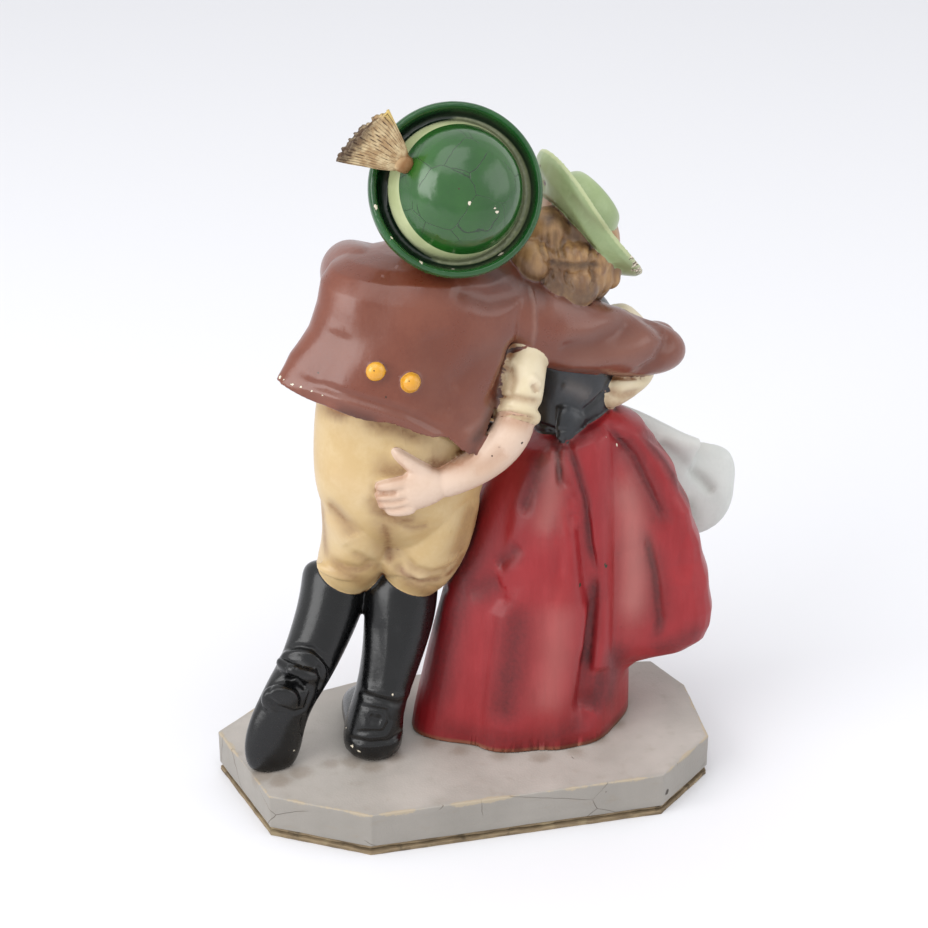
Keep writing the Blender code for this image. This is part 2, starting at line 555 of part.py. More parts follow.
def evaluated(obj):
    """A mesh of the object with its modifiers, where it stands."""
    graph = bpy.context.evaluated_depsgraph_get()
    mesh = bpy.data.meshes.new_from_object(obj.evaluated_get(graph))
    mesh.transform(obj.matrix_world)
    return mesh


def melt(shapes, group):
    """One skin over all the shapes, softened like a casting, with an even grain."""
    bm = bmesh.new()
    for shape in shapes:
        bm.from_mesh(shape)
    mesh = bpy.data.meshes.new("couple")
    bm.to_mesh(mesh)
    bm.free()
    cast = bpy.data.objects.new("couple", mesh)
    group.objects.link(cast)
    remesh = cast.modifiers.new("Melt", "REMESH")
    remesh.mode = "VOXEL"
    remesh.voxel_size = GRAIN
    soften = cast.modifiers.new("Soften", "SMOOTH")
    soften.factor = 0.5
    soften.iterations = SOFTENING_PASSES
    bpy.context.view_layer.update()
    fine = evaluated(cast)
    fine.calc_loop_triangles()
    thin = cast.modifiers.new("Thin", "DECIMATE")
    thin.ratio = CAST_FACES / len(fine.loop_triangles)
    bpy.context.view_layer.update()
    cast.data = evaluated(cast)
    cast.modifiers.clear()
    return cast


def paint_by_form(cast, shapes):
    """Give each face of the casting the paint of the form that it lies on."""
    skins = []
    for shape in shapes:
        bm = bmesh.new()
        bm.from_mesh(shape)
        skins.append(BVHTree.FromBMesh(bm))
        bm.free()
    paints = list(dict.fromkeys(shape.materials[0] for shape in shapes))
    cast.data.materials.clear()
    for material in paints:
        cast.data.materials.append(material)
    for face in cast.data.polygons:
        gaps = [skin.find_nearest(face.center, 20 * STEP)[3] for skin in skins]
        nearest = min((gap, i) for i, gap in enumerate(gaps) if gap is not None)[1]
        face.material_index = paints.index(shapes[nearest].materials[0])


def cut(obj, cutter):
    modifier = obj.modifiers.new(cutter.name, "BOOLEAN")
    modifier.operation = "DIFFERENCE"
    modifier.object = cutter


def cast_couple():
    """Melt every form into the one casting, then cut its soles flat and the tuft's socket."""
    skirt()
    apron()
    trunk_of_her()
    arms_of_her()
    head_of_her()
    hat_of_her()
    trunk_of_him()
    boots()
    coat()
    arms_of_him()
    head_of_him()
    buttons()
    bpy.context.view_layer.update()
    shapes = [evaluated(form) for form in forms.objects]
    couple = melt(shapes, figurine)
    paint_by_form(couple, shapes)
    cut(couple, ground())
    cut(couple, tuft_socket())
    return couple


cast_couple()
tuft()
slab("plinth", PLINTH, PLINTH_BOTTOM, PLINTH_THICKNESS, 0, PLINTH_EDGE)
slab("base_board", BOARD, 0, BOARD_THICKNESS, BOARD_MARGIN, 0)
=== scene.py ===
# %% [markdown]
# # A painted dancing couple
# This lesson dresses the plain solids of a table figurine. The real one is cast plaster: two dancers in one
# casting, glued to a long grey plinth with cut corners and a thin fibre board. The paint is thin, satin and
# hand-brushed, with a brown wash that was wiped off the high places and stayed in the hollows.
#
# We load the solids first. They are a fixed frame: the new meshes go where they are.

# %% Load the frame
import math
import random

import bmesh
import bpy
import numpy as np
from mathutils import Matrix, Vector
from mathutils.bvhtree import BVHTree


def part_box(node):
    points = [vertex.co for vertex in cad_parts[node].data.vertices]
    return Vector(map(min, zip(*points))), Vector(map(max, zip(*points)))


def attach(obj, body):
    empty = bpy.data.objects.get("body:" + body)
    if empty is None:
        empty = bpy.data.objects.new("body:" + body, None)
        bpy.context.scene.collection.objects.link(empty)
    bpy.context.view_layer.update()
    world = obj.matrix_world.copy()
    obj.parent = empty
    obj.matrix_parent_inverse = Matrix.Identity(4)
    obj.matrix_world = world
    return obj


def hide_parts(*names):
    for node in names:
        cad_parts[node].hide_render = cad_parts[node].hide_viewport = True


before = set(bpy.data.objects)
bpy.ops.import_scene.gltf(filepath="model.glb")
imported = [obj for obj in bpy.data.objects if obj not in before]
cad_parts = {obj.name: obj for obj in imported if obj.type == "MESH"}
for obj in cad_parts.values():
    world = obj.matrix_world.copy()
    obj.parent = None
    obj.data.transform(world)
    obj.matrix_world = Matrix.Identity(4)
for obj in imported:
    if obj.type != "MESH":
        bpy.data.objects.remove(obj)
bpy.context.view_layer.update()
print("solids:", ", ".join(sorted(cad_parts)))

# %% [markdown]
# The solids' sizes set the scale. One step is a 200th of the plinth's length, or a millimetre, and the couple
# is described in steps from a point near the middle of the plinth's top. If the solids are ever made larger,
# everything here grows with them.

# %% Steps
plinth_low, plinth_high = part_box("plinth")
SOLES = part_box("couple")[0].z
PLINTH_STEPS = 200.2
STEP = (plinth_high.x - plinth_low.x) / PLINTH_STEPS
COUPLE_OFF_MIDDLE = 1.1


def at(x, y, z):
    """A place in steps: x from him to her, y away from the viewer, z above the soles."""
    return Vector(((x + COUPLE_OFF_MIDDLE) * STEP, y * STEP, SOLES + z * STEP))


print(f"one step is {STEP * 1000:.3f} mm, the soles stand at {SOLES * 1000:.1f} mm")

# %% [markdown]
# The camera stands where the photographer stood: about 80 cm off, well above the table, and a little to the
# left. It is made first, because it is also used as a pointer: a fold that is seen at some pixel of the
# 928 x 928 picture is carved where the line of sight through that pixel meets the plaster.

# %% Camera
PICTURE_SIDE = 928
FOCAL_PIXELS = 2041
CAMERA_TURN = math.radians(15.5)
CAMERA_DIP = math.radians(25)
CAMERA_PLACE = at(-195.26, -693.51, 457.9)

sight_right = Vector((math.cos(CAMERA_TURN), -math.sin(CAMERA_TURN), 0))
sight_level = Vector((math.sin(CAMERA_TURN), math.cos(CAMERA_TURN), 0))
sight_ahead = sight_level * math.cos(CAMERA_DIP) - Vector((0, 0, math.sin(CAMERA_DIP)))
sight_up = sight_right.cross(sight_ahead)

bpy.ops.object.camera_add(location=CAMERA_PLACE)
camera = bpy.context.object
camera.rotation_euler = Matrix((sight_right, sight_up, -sight_ahead)).transposed().to_euler()
camera.data.sensor_width = 36
camera.data.lens = camera.data.sensor_width * FOCAL_PIXELS / PICTURE_SIDE
camera.data.clip_start = 0.05
bpy.context.scene.camera = camera


def line_of_sight(column, row):
    """The direction in which the camera sees a pixel of the picture."""
    across = (column - PICTURE_SIDE / 2) * sight_right
    down = (row - PICTURE_SIDE / 2) * sight_up
    return (sight_ahead * FOCAL_PIXELS + across - down).normalized()


print(f"lens {camera.data.lens:.1f} mm")

# %% [markdown]
# A photo studio for small things is a white sweep under large soft lamps. A big plane is enough for the floor,
# because the camera looks down on it. One wide lamp stands at the left, one hangs above, a weaker one fills
# from the right, and the white sky lights all hollows a little.

# %% Floor and light
bpy.ops.mesh.primitive_plane_add(size=14)
floor = bpy.context.object
floor.name = "floor"


FIGURE_MIDDLE = Vector((0, 0, 0.13))


def lamp(name, place, size, watts):
    """A soft square lamp that looks at the figure's middle."""
    bpy.ops.object.light_add(type="AREA", location=place)
    made = bpy.context.object
    made.name = name
    made.data.size = size
    made.data.energy = watts
    made.rotation_euler = (FIGURE_MIDDLE - Vector(place)).to_track_quat("-Z", "Y").to_euler()


lamp("lamp_left", (-1.5, -0.55, 0.95), 1.3, 20)
lamp("lamp_above", (-0.25, -0.6, 1.9), 1.5, 10)
lamp("lamp_right", (1.6, -0.9, 0.9), 1.2, 5)

sky = bpy.data.worlds.new("white_sky")
bpy.context.scene.world = sky
sky.use_nodes = True
sky.node_tree.nodes["Background"].inputs["Color"].default_value = (0.97, 0.98, 1.0, 1)
sky.node_tree.nodes["Background"].inputs["Strength"].default_value = 0.94
bpy.context.scene.view_settings.view_transform = "Standard"
print("stage:", floor.name)

# %% [markdown]
# ## Clay
# A modeller builds a figure from simple lumps of clay and then smooths them into each other. We do the same.
# Arms, legs and sleeves are rings: a circle is added, and the operator Extrude pulls it through one station
# after another, each with its own width and thickness. Hats are the same with round rings. We could draw each
# body by hand with a hundred loose points, but rings keep a limb even, and one number moves a whole joint.

# %% Hand tools
def deselect():
    bpy.ops.object.select_all(action="DESELECT")


def apply_modifier(obj, name, kind, **settings):
    """Add a modifier with some settings, and apply it."""
    modifier = obj.modifiers.new(name, kind)
    for key, value in settings.items():
        setattr(modifier, key, value)
    bpy.context.view_layer.objects.active = obj
    bpy.ops.object.modifier_apply(modifier=name)


def join(pieces):
    """Make one object of some pieces. It takes the first one's place."""
    deselect()
    for piece in pieces:
        piece.select_set(True)
    bpy.context.view_layer.objects.active = pieces[0]
    bpy.ops.object.join()
    return pieces[0]


def turn_outward(obj):
    """Let all faces look outward."""
    deselect()
    obj.select_set(True)
    bpy.context.view_layer.objects.active = obj
    bpy.ops.object.mode_set(mode="EDIT")
    bpy.ops.mesh.select_all(action="SELECT")
    bpy.ops.mesh.normals_make_consistent(inside=False)
    bpy.ops.object.mode_set(mode="OBJECT")


# %% [markdown]
# Each lump knows the paint that will cover it, and joins the heap of clay. A piece that isn't part of the
# casting has no paint yet, and stays out of the heap.

# %% Rings, limbs and balls
clay = []


def to_clay(lump, paint):
    """Put a lump on the heap, if it has a paint."""
    if paint:
        lump["paint"] = paint
        clay.append(lump)
    return lump


def pull_ring(name, paint, places, sides, levels):
    """Extrude a circle through a row of placed rings, close both ends and round it by subdivision."""
    deselect()
    bpy.ops.mesh.primitive_circle_add(vertices=sides, radius=1, fill_type="NGON")
    lump = bpy.context.object
    lump.name = name
    bpy.ops.object.mode_set(mode="EDIT")
    now = Matrix.Identity(4)
    for i, place in enumerate(places):
        if i:
            bpy.ops.mesh.extrude_region_move()
        bm = bmesh.from_edit_mesh(lump.data)
        ring = [vert for vert in bm.verts if vert.select]
        bmesh.ops.transform(bm, matrix=place @ now.inverted(), verts=ring)
        bmesh.update_edit_mesh(lump.data)
        now = place
    bpy.ops.object.mode_set(mode="OBJECT")
    turn_outward(lump)
    if levels:
        apply_modifier(lump, "Round", "SUBSURF", levels=levels, render_levels=levels)
    return to_clay(lump, paint)


def ring_place(centre, across, fore, wide, thick):
    """The matrix that turns a unit circle into a ring of this width and thickness."""
    along = across.cross(fore)
    turn = Matrix((across, fore, along)).transposed()
    return Matrix.LocRotScale(centre, turn, Vector((wide, thick, 1)))


def limb(name, paint, stations, count=8, levels=2, face=(0, -1, 0)):
    """A limb through stations (x, y, z, half width, half thickness), its flat side towards face."""
    places = [at(*station[:3]) for station in stations]
    rings = []
    for i, (_, _, _, wide, thick) in enumerate(stations):
        along = places[min(i + 1, len(places) - 1)] - places[max(i - 1, 0)]
        across = along.cross(Vector(face)).normalized()
        fore = across.cross(along).normalized()
        rings.append(ring_place(places[i], across, fore, wide * STEP, thick * STEP))
    return pull_ring(name, paint, rings, count, levels)


def ball(name, paint, centre, radii):
    """A ball, or an egg with three different radii."""
    deselect()
    bpy.ops.mesh.primitive_uv_sphere_add(segments=32, ring_count=20, location=at(*centre))
    lump = bpy.context.object
    lump.name = name
    lump.scale = Vector(radii) * STEP
    bpy.ops.object.transform_apply(location=True, rotation=True, scale=True)
    return to_clay(lump, paint)


NO_RADIUS = 0.05


def turned(name, paint, profile, centre, axis, sides):
    """A hat as rings round its axis, from a profile of (radius, height)."""
    axis = Vector(axis).normalized()
    across = axis.orthogonal().normalized()
    fore = axis.cross(across)
    rings = []
    for radius, height in profile:
        radius = max(radius, NO_RADIUS) * STEP
        rings.append(ring_place(at(*centre) + axis * height * STEP, across, fore, radius, radius))
    return pull_ring(name, paint, rings, sides, 1)


def bell(name, paint, heights, sides, place_of):
    """A closed bell: rings pulled straight up, and then each point set by its angle and its row."""
    upright = [Matrix.Translation((0, 0, row * STEP)) for row in range(len(heights))]
    lump = pull_ring(name, paint, upright, sides, 0)
    for vert in lump.data.vertices:
        row, turn = divmod(vert.index, sides)
        vert.co = place_of(-180 + 360 * turn / sides, heights[row])
    turn_outward(lump)
    return lump


COAT, CLOTH, BOOT, BUTTON, HIS_HAT = "coat", "cloth", "boot", "button", "his_hat"
SKIRT, APRON, BODICE, BLOUSE, HER_HAT = "skirt", "apron", "bodice", "blouse", "her_hat"
SKIN, HAIR = "skin", "hair"
print("tools are ready")

# %% [markdown]
# ## Her skirt
# The skirt is a bell whose reach depends on the angle and the height: it stands on the ground at the back and
# on his side, and swings out free at the right. A formula in polar terms gives such a bell at once, so we pull
# a ring up through its heights, and then push every point out to its own reach.

# %% Measures of the skirt
WAIST_HEIGHT = 131
WAIST_REACH = 16
SKIRT_SIDES = 112
SKIRT_HEIGHTS = (-3, 6, 12, 18, 23, 27, 30, 33, 38, 44, 51, 58, 65, 72, 79, 86, 93, 100, 107, 113, 119,
                 124, 128, 131)
# Degrees round from +X, reach on the ground, fullness: a small one fills out under the waist
SKIRT_REACH = ((-180, 64, 0.50), (-152, 46, 0.42), (-116, 34, 0.34), (-90, 31, 0.30),
               (-45, 27, 0.30), (0, 30, 0.36), (45, 32, 0.40), (90, 34, 0.5), (135, 48, 0.5),
               (180, 64, 0.5))
# Height and reach of the part that swings out
SWING = ((0, 20), (12, 23), (22, 28), (28, 34), (31, 45), (34, 54), (39, 59), (47, 61.5), (62, 59),
         (78, 54.5), (90, 50), (105, 43), (122, 32), (128, 22), (131, 16))
SWING_FROM, SWING_FULL, SWING_EASES, SWING_TO = -58, -24, 35, 80
# The waist slopes up to her right side by this much
WAIST_SLOPE = 5
# Folds: depth, half width, and a path of (height, degrees round from +X)
SKIRT_FOLDS = (
    (4.6, 3.8, ((126, -124), (113, -114), (102, -102), (89, -93), (71, -88), (57, -81), (46, -82),
                (34, -87), (20, -89), (6, -88))),
    (2.6, 3.0, ((126, -136), (112, -127), (97, -118), (82, -113), (66, -110))),
    (4.2, 3.8, ((126, -44), (114, -40), (102, -40.5), (88, -38), (73, -33), (60, -28))),
    (4.4, 4.2, ((88, -48), (73, -43), (54, -41), (34, -40.5), (22, -41))),
    (2.8, 4.4, ((78, -140), (70, -144), (64, -151), (56, -160))),
    (2.6, 4.0, ((124, 35), (20, 33))),
    (2.8, 4.4, ((124, 64), (6, 58))),
    (2.6, 4.4, ((124, 94), (6, 92))),
    (2.8, 4.4, ((124, 122), (6, 124))),
    (2.6, 4.4, ((124, 150), (6, 148))),
)
FOLD_ENDS = 12
print("folds in the skirt:", len(SKIRT_FOLDS))

# %% [markdown]
# A row of a table holds for one angle or height. Between two rows the values ease from one to the other, so
# that the cloth has no kinks.

# %% Reach of the skirt
def eased(share):
    """A share that starts and ends softly."""
    share = min(1.0, max(0.0, share))
    return share * share * (3 - 2 * share)


def around(table, degrees):
    """The values between two rows of a table that goes round the body."""
    for (a, *low), (b, *high) in zip(table, table[1:]):
        if degrees <= b:
            share = eased((degrees - a) / (b - a))
            return [first + (second - first) * share for first, second in zip(low, high)]
    return table[-1][1:]


def swing_share(degrees):
    """How much of the swing is left at this angle."""
    rise = eased((degrees - SWING_FROM) / (SWING_FULL - SWING_FROM))
    return rise * (1 - eased((degrees - SWING_EASES) / (SWING_TO - SWING_EASES)))


def fold_depth(degrees, height, reach):
    """How far the folds draw the skirt in at this place."""
    depth = 0
    for deepest, half_width, path in SKIRT_FOLDS:
        top, bottom = path[0][0], path[-1][0]
        if not bottom < height < top:
            continue
        path_degrees = around(path[::-1], height)[0]
        gap = (degrees - path_degrees + 180) % 360 - 180
        aside = math.radians(gap) * reach / half_width
        ends = eased((top - height) / FOLD_ENDS) * eased((height - bottom) / FOLD_ENDS)
        depth += deepest * ends * math.exp(-aside ** 2)
    return depth


def skirt_reach(degrees, height):
    """Distance from the skirt's axis, in steps, at this angle and height."""
    ground, fullness = around(SKIRT_REACH, degrees)
    fall = min(1.0, max(0.0, 1 - height / WAIST_HEIGHT))
    reach = WAIST_REACH + (ground - WAIST_REACH) * fall ** fullness
    out = around(SWING, height)[0]
    reach += max(0.0, out - reach) * swing_share(degrees)
    return reach - fold_depth(degrees, height, reach)


def skirt_place(degrees, height):
    """A point of the skirt. Its axis leans a little, from the hem's middle to the waist's."""
    up = height / WAIST_HEIGHT
    reach = skirt_reach(degrees, height)
    turn = math.radians(degrees)
    x = 41 + 4 * up + reach * math.cos(turn)
    y = 8 + 5 * up + reach * math.sin(turn)
    return at(x, y, height + WAIST_SLOPE * up ** 3 * math.cos(turn))


bell("skirt", SKIRT, SKIRT_HEIGHTS, SKIRT_SIDES, skirt_place)
print("skirt rows:", len(SKIRT_HEIGHTS))

# %% [markdown]
# ## The rest of her
# Her apron blows out to the right behind the swing of the skirt. Her bodice ends in a point over the skirt.
# Her left arm comes round his waist with a puffed sleeve, a cuff and a hand laid flat on him: the fingers are
# four small limbs side by side. Her head is turned to him, and her hair is laid in locks low at the back.

# %% Apron and bodice
def apron():
    """The apron's front, and its free side, a thick leaf of cloth blown out behind the swing."""
    leaf = ((50, 30, 124, 9, 5), (66, 29, 119, 13, 6), (84, 28, 97, 23, 6), (97, 28, 84, 28, 6),
            (107, 29, 84.5, 24.5, 6), (114, 30, 90, 17, 5), (120, 31, 93, 11, 4.4),
            (124.2, 31.5, 93.5, 5, 3))
    limb("apron", APRON, leaf, count=10, face=(-0.3, -1, 0.1))
    limb("apron_front", APRON, ((46, 26, 130, 17, 6), (52, 36, 112, 22, 6), (60, 42, 90, 28, 6),
                                (66, 44, 66, 30, 6), (68, 43, 50, 24, 4)), count=10)


def trunk_of_her():
    """Bodice with its point, and neck."""
    limb("bodice", BODICE, ((45, 13, 122, 15, 11), (45, 14, 132, 16.5, 13), (45, 15, 146, 18, 14),
                            (46, 17, 162, 20, 15), (46, 19, 176, 17, 13), (46, 20, 184, 9, 8)), count=12)
    point = ((44, 4, 139, 9, 4), (39.5, 0.5, 133, 7, 3.2), (35.5, -2.6, 127.4, 3, 2.2))
    limb("bodice_point", BODICE, point, count=8)
    limb("her_neck", SKIN, ((46, 20, 178, 8, 8), (47, 21, 190, 6.5, 6.5), (47, 22, 198, 7, 7)), count=10)


apron()
trunk_of_her()
print("lumps:", len(clay))


# %% Her arms and head
def arms_of_her():
    """Left arm round his waist, and right arm bent behind her."""
    limb("left_puff", BLOUSE, ((30, 13, 175, 8, 8), (23, 5, 169, 10.5, 10), (18, -5, 161, 10.5, 10),
                               (16, -11, 153, 9.6, 9.2), (15, -13, 148.5, 8.4, 8.2)), count=10)
    limb("left_cuff", BLOUSE, ((15.4, -12.4, 150, 9.2, 9), (14.2, -14.2, 146.4, 9.6, 9.2),
                               (13.4, -15.4, 144, 8.6, 8.4)), count=12)
    limb("left_forearm", SKIN, ((15, -12, 149, 8.2, 8), (12, -17, 142, 8.6, 8), (5, -19, 135, 8.6, 8),
                                (-5, -20, 129, 7.6, 6.8), (-15, -20.5, 125.5, 6.4, 5.6),
                                (-20, -20.5, 124.5, 6.0, 5)), count=10)
    limb("left_palm", SKIN, ((-16, -20.5, 125.5, 6.2, 5), (-22, -21, 125, 8.2, 4.6),
                             (-28, -20.5, 123.5, 8.8, 4.2), (-32, -20, 122.5, 7.6, 3.6)), count=10)
    for i, (tip_x, tip_z) in enumerate(((-42.5, 125.8), (-42.8, 121.6), (-41.8, 118.2), (-39.0, 115.4))):
        root = 128.2 - 4.0 * i
        middle = (root + tip_z) / 2
        finger = ((-27, -20.6, root, 2.6, 2.8), (-34, -20.2, middle, 2.7, 2.9),
                  (tip_x + 1.6, -18.6, tip_z, 2.3, 2.4), (tip_x, -18.2, tip_z, 1.2, 1.3))
        limb(f"left_finger_{i + 1}", SKIN, finger, count=8)
    limb("left_thumb", SKIN, ((-20, -20.6, 128, 3.8, 3.8), (-27, -20.2, 132.5, 3.2, 3.4),
                              (-33, -18.6, 138, 2.6, 2.8), (-35.6, -17.6, 140.8, 1.5, 1.7)), count=8)
    limb("right_puff", BLOUSE, ((60, 18, 172, 9, 9), (68, 20, 162, 12, 11), (73, 22, 152, 12, 11),
                                (76, 24, 143, 9, 8.5)), count=10)
    limb("right_knot", BLOUSE, ((55, 6, 139, 5, 4), (62, 8, 143, 7.0, 6), (71, 12, 146, 7.6, 6.6),
                                (79, 16, 149, 5.4, 5)), count=8)
    limb("right_forearm", SKIN, ((76, 24, 146, 7.6, 7.4), (75, 34, 138, 7.2, 7), (68, 42, 132, 6.2, 5.8),
                                 (62, 45, 129, 6.8, 5), (55, 46, 127, 4.6, 3.6)), count=8)


def head_of_her():
    """Head and face, and the hair as a big ball with locks laid on it."""
    limb("her_head", SKIN, ((60, 24, 190, 10, 10), (52, 24, 196, 16, 17), (44, 24, 204, 18, 18),
                            (40, 24, 213, 16, 16), (38, 24, 221, 9, 9)), count=10, face=(0, -1, 0.2))
    limb("her_face", SKIN, ((44, 24, 198, 9, 9), (33, 25, 201, 11, 12), (27, 26, 203, 9, 11),
                            (24, 26, 204, 4, 6)), count=8)
    ball("her_hair", HAIR, (46.4, 22, 202), (19, 18.5, 17))
    ball("hair_side", HAIR, (33.5, 14, 206), (11, 10, 13))
    ball("lock_over", HAIR, (40.5, 4.6, 201.0), (10.6, 6.6, 6.4))
    ball("lock_side", HAIR, (34.0, 4.6, 192.4), (6.0, 6.4, 6.4))
    ball("lock_under", HAIR, (43.0, 4.4, 189.8), (8.6, 7.4, 7.6))
    for i in range(3):
        x = 51.6 + 3.7 * i
        near = 4.6 + 1.6 * i
        thin_lock = ((x - 1.6, near + 4, 206 - i, 1.8, 3.0), (x + 1.2, near, 201 - i, 2.6, 4.0),
                     (x + 0.4, near + 1, 196 - i, 2.2, 3.6), (x + 1.6, near + 0.6, 190 - 0.6 * i, 2.6, 4.2),
                     (x - 1.6, near + 3, 184 + i, 1.8, 3.0))
        limb(f"thin_lock_{i + 1}", HAIR, thin_lock, count=8)
    limb("her_hair_nape", HAIR, ((32, 18, 184, 6, 6), (44, 15, 184, 9, 8), (56, 16, 187, 8, 8),
                                 (61, 19, 191, 5, 6)), count=8)


arms_of_her()
head_of_her()
print("lumps:", len(clay))

# %% [markdown]
# Her small felt hat sits on a slant over her far ear. Its crown is turned round an axis that leans to the right.
# Its brim isn't round, so it is a bell again, with a row for each turn of its edge.

# %% Her hat
# The way its crown points
HER_HAT_AXIS = Vector((0.80, 0.12, 0.58)).normalized()
HER_HAT_PLACE = (48.5, 21, 208.5)
# Its brim is a boat: long from the front end to the tip, and turned up less at the near side
HER_BRIM_LONG = Vector((0.667, 0, -0.745))
HER_BRIM_LONG = (HER_BRIM_LONG - HER_HAT_AXIS * HER_BRIM_LONG.dot(HER_HAT_AXIS)).normalized()
HER_BRIM_FAR = HER_HAT_AXIS.cross(HER_BRIM_LONG)
HER_BRIM_SIDES = 48
HER_BRIM_REACH = (32.4, 24)
HER_BRIM_RISE, HER_BRIM_DIP = 8.2, 3.6
# Share of the brim's reach, then height on the axis or height under the brim's edge
HER_BRIM_ROWS = ((0.2, -3.6, 0), (0.62, -3.4, 0), (0.82, 0, 8.0), (0.97, 0, 3.5), (1.0, 0, 0.8),
                 (0.975, 0, 0), (0.92, 0, 1.0), (0.80, 0, 4.4), (0.66, 1.4, 0), (0.2, 1.4, 0))


def her_brim_place(degrees, row):
    """A point of the brim. Zero degrees is the tip, and below zero is the near side."""
    share, height, under_edge = row
    turn = math.radians(degrees)
    reach = 1 / math.hypot(math.cos(turn) / HER_BRIM_REACH[0], math.sin(turn) / HER_BRIM_REACH[1])
    edge = HER_BRIM_RISE - HER_BRIM_DIP * max(0.0, -math.sin(turn)) ** 2
    if under_edge or share > 0.9:
        height = edge - under_edge
    across = (HER_BRIM_LONG * math.cos(turn) + HER_BRIM_FAR * math.sin(turn)) * share * reach
    return at(*(Vector(HER_HAT_PLACE) + across + HER_HAT_AXIS * height))


def hat_of_her():
    bell("her_hat_brim", HER_HAT, HER_BRIM_ROWS, HER_BRIM_SIDES, her_brim_place)
    crown = ((0, -2), (16.4, -2), (16.0, 3), (15.2, 8.4), (12.8, 13.2), (10.8, 14.6), (0, 15.2))
    middle = Vector(HER_HAT_PLACE) - HER_BRIM_LONG * 3.6
    turned("her_hat_crown", HER_HAT, crown, middle, HER_HAT_AXIS, 48)


hat_of_her()
print("lumps:", len(clay))

# %% [markdown]
# ## Him
# He stands with bent knees, his weight on his right boot and his left boot kicked back on its toe. Breeches
# bag over the boots. The coat is a bell again, cut longer at the right corner, and drawn out to a tip at the
# left where it flies.

# %% His breeches and boots
def trunk_of_him():
    """Hips and thighs of the breeches, with a fold above each knee."""
    limb("hips", CLOTH, ((-28, 8, 170, 27, 18), (-28, 6, 156, 32, 22), (-27.5, 5, 140, 34.5, 25),
                         (-27, 5, 124, 35.4, 26), (-27, 6, 111, 34, 25), (-28, 9, 100, 28, 20),
                         (-28, 12, 92, 18, 13)), count=14)
    limb("left_thigh", CLOTH, ((-42, 7, 120, 18, 21), (-42.5, 8, 104, 16.2, 19), (-43, 11, 92, 15.0, 17),
                               (-44.4, 15, 81, 14.4, 15), (-46.2, 20, 73, 13.6, 13.4),
                               (-47.6, 25, 67, 10, 10)), count=12)
    limb("right_thigh", CLOTH, ((-11, 5, 120, 18, 21), (-13.5, 5, 104, 18, 20), (-15.5, 6, 92, 18, 18),
                                (-18, 8, 82, 17, 16), (-20.6, 11, 74, 15.6, 14.8),
                                (-23.6, 15, 67, 11, 11)), count=12)
    limb("hip_side", CLOTH, ((-4, 6, 158, 12, 12), (0, 6, 146, 12, 12), (2, 6, 132, 11, 11)), count=10)
    for side, (x, y, z, wide) in enumerate(((-46.6, 12, 79.5, 14.2), (-19.6, 4, 80.5, 16.2))):
        fold = ((x - wide, y, z + 1, 2.0, 2.2), (x - wide * 0.5, y - 8, z - 1, 3.0, 3.0),
                (x + wide * 0.3, y - 9, z - 2, 3.2, 3.2), (x + wide, y, z - 1, 2.0, 2.2))
        limb(f"knee_fold_{side + 1}", CLOTH, fold, count=8, face=(0, 0, 1))


def boots():
    """Left boot on its toe with the heel towards us, and right boot flat on the plinth."""
    left_boot = ((-48.6, 28, 72, 11.6, 11.0), (-49.6, 25, 68.5, 14.6, 13.8), (-51.2, 22, 63, 14.4, 13.6),
                 (-55.4, 17, 54, 13.4, 13.0), (-63, 10, 42.5, 12.0, 12.0), (-69.0, 4.6, 35.5, 11.2, 11.2),
                 (-73.4, 2, 31, 11.0, 11), (-77.4, 0, 25, 11.2, 9.6), (-81.0, -1.6, 18, 12.2, 7.6),
                 (-83.4, -3, 10, 12.6, 7.0), (-84.4, -3.8, 4, 11.4, 6.2), (-84.8, -4.2, -2, 8.6, 4.6))
    limb("left_boot", BOOT, left_boot, count=12, face=(0.1, -1, 0.15))
    limb("left_heel", BOOT, ((-79.4, -3.0, 33, 8.0, 7.4), (-80.4, -7.5, 32.0, 8.4, 7.8),
                             (-80.8, -9.6, 31.6, 7.6, 7.0)), count=10, face=(0.1, -0.2, 1))
    left_fold = ((-79, 5.6, 43, 2.2, 2.4), (-75, -4.4, 42.5, 3.0, 3.2), (-66, -6.0, 39.5, 3.2, 3.4),
                 (-59, 3.4, 33.5, 2.2, 2.4))
    limb("left_ankle_fold", BOOT, left_fold, count=8, face=(0, 0, 1))
    right_boot = ((-23.8, 18, 70.5, 12, 11.4), (-24.4, 15.5, 67, 15.4, 14), (-25.6, 12.5, 61.5, 15.4, 13.8),
                  (-27.4, 10, 53, 15.2, 13.8), (-31, 5, 42, 13.2, 12.8), (-35.8, 1, 29, 11.4, 11.6),
                  (-39.4, -1, 19.5, 11.2, 11.4), (-42.0, -2.8, 11, 12.8, 11.8), (-43.0, -3.2, -3, 13.2, 12))
    limb("right_boot", BOOT, right_boot, count=12)
    right_foot = ((-42.6, -14, 6.0, 8.6, 5.0), (-42.2, -8, 7.4, 11.8, 7.2), (-41, 6, 8.2, 11.6, 8.0),
                  (-38.4, 20, 6.6, 12.4, 6.4), (-36.6, 31, 5.2, 11.2, 5.0), (-36.4, 38, 4.2, 6.2, 3.4))
    limb("right_foot", BOOT, right_foot, count=12, face=(0, 0, 1))
    right_fold = ((-51, 1, 18, 2.2, 2.4), (-46, -10, 17.5, 3.0, 3.2), (-35.4, -11.4, 17, 3.0, 3.2),
                  (-29.2, 0, 19, 2.2, 2.4))
    limb("right_ankle_fold", BOOT, right_fold, count=8, face=(0, 0, 1))


trunk_of_him()
boots()
print("lumps:", len(clay))

# %% [markdown]
# The coat is a bell of cloth from the shoulders, cut away at the left tip and the right corner.

# %% Coat
COAT_SIDES = 64
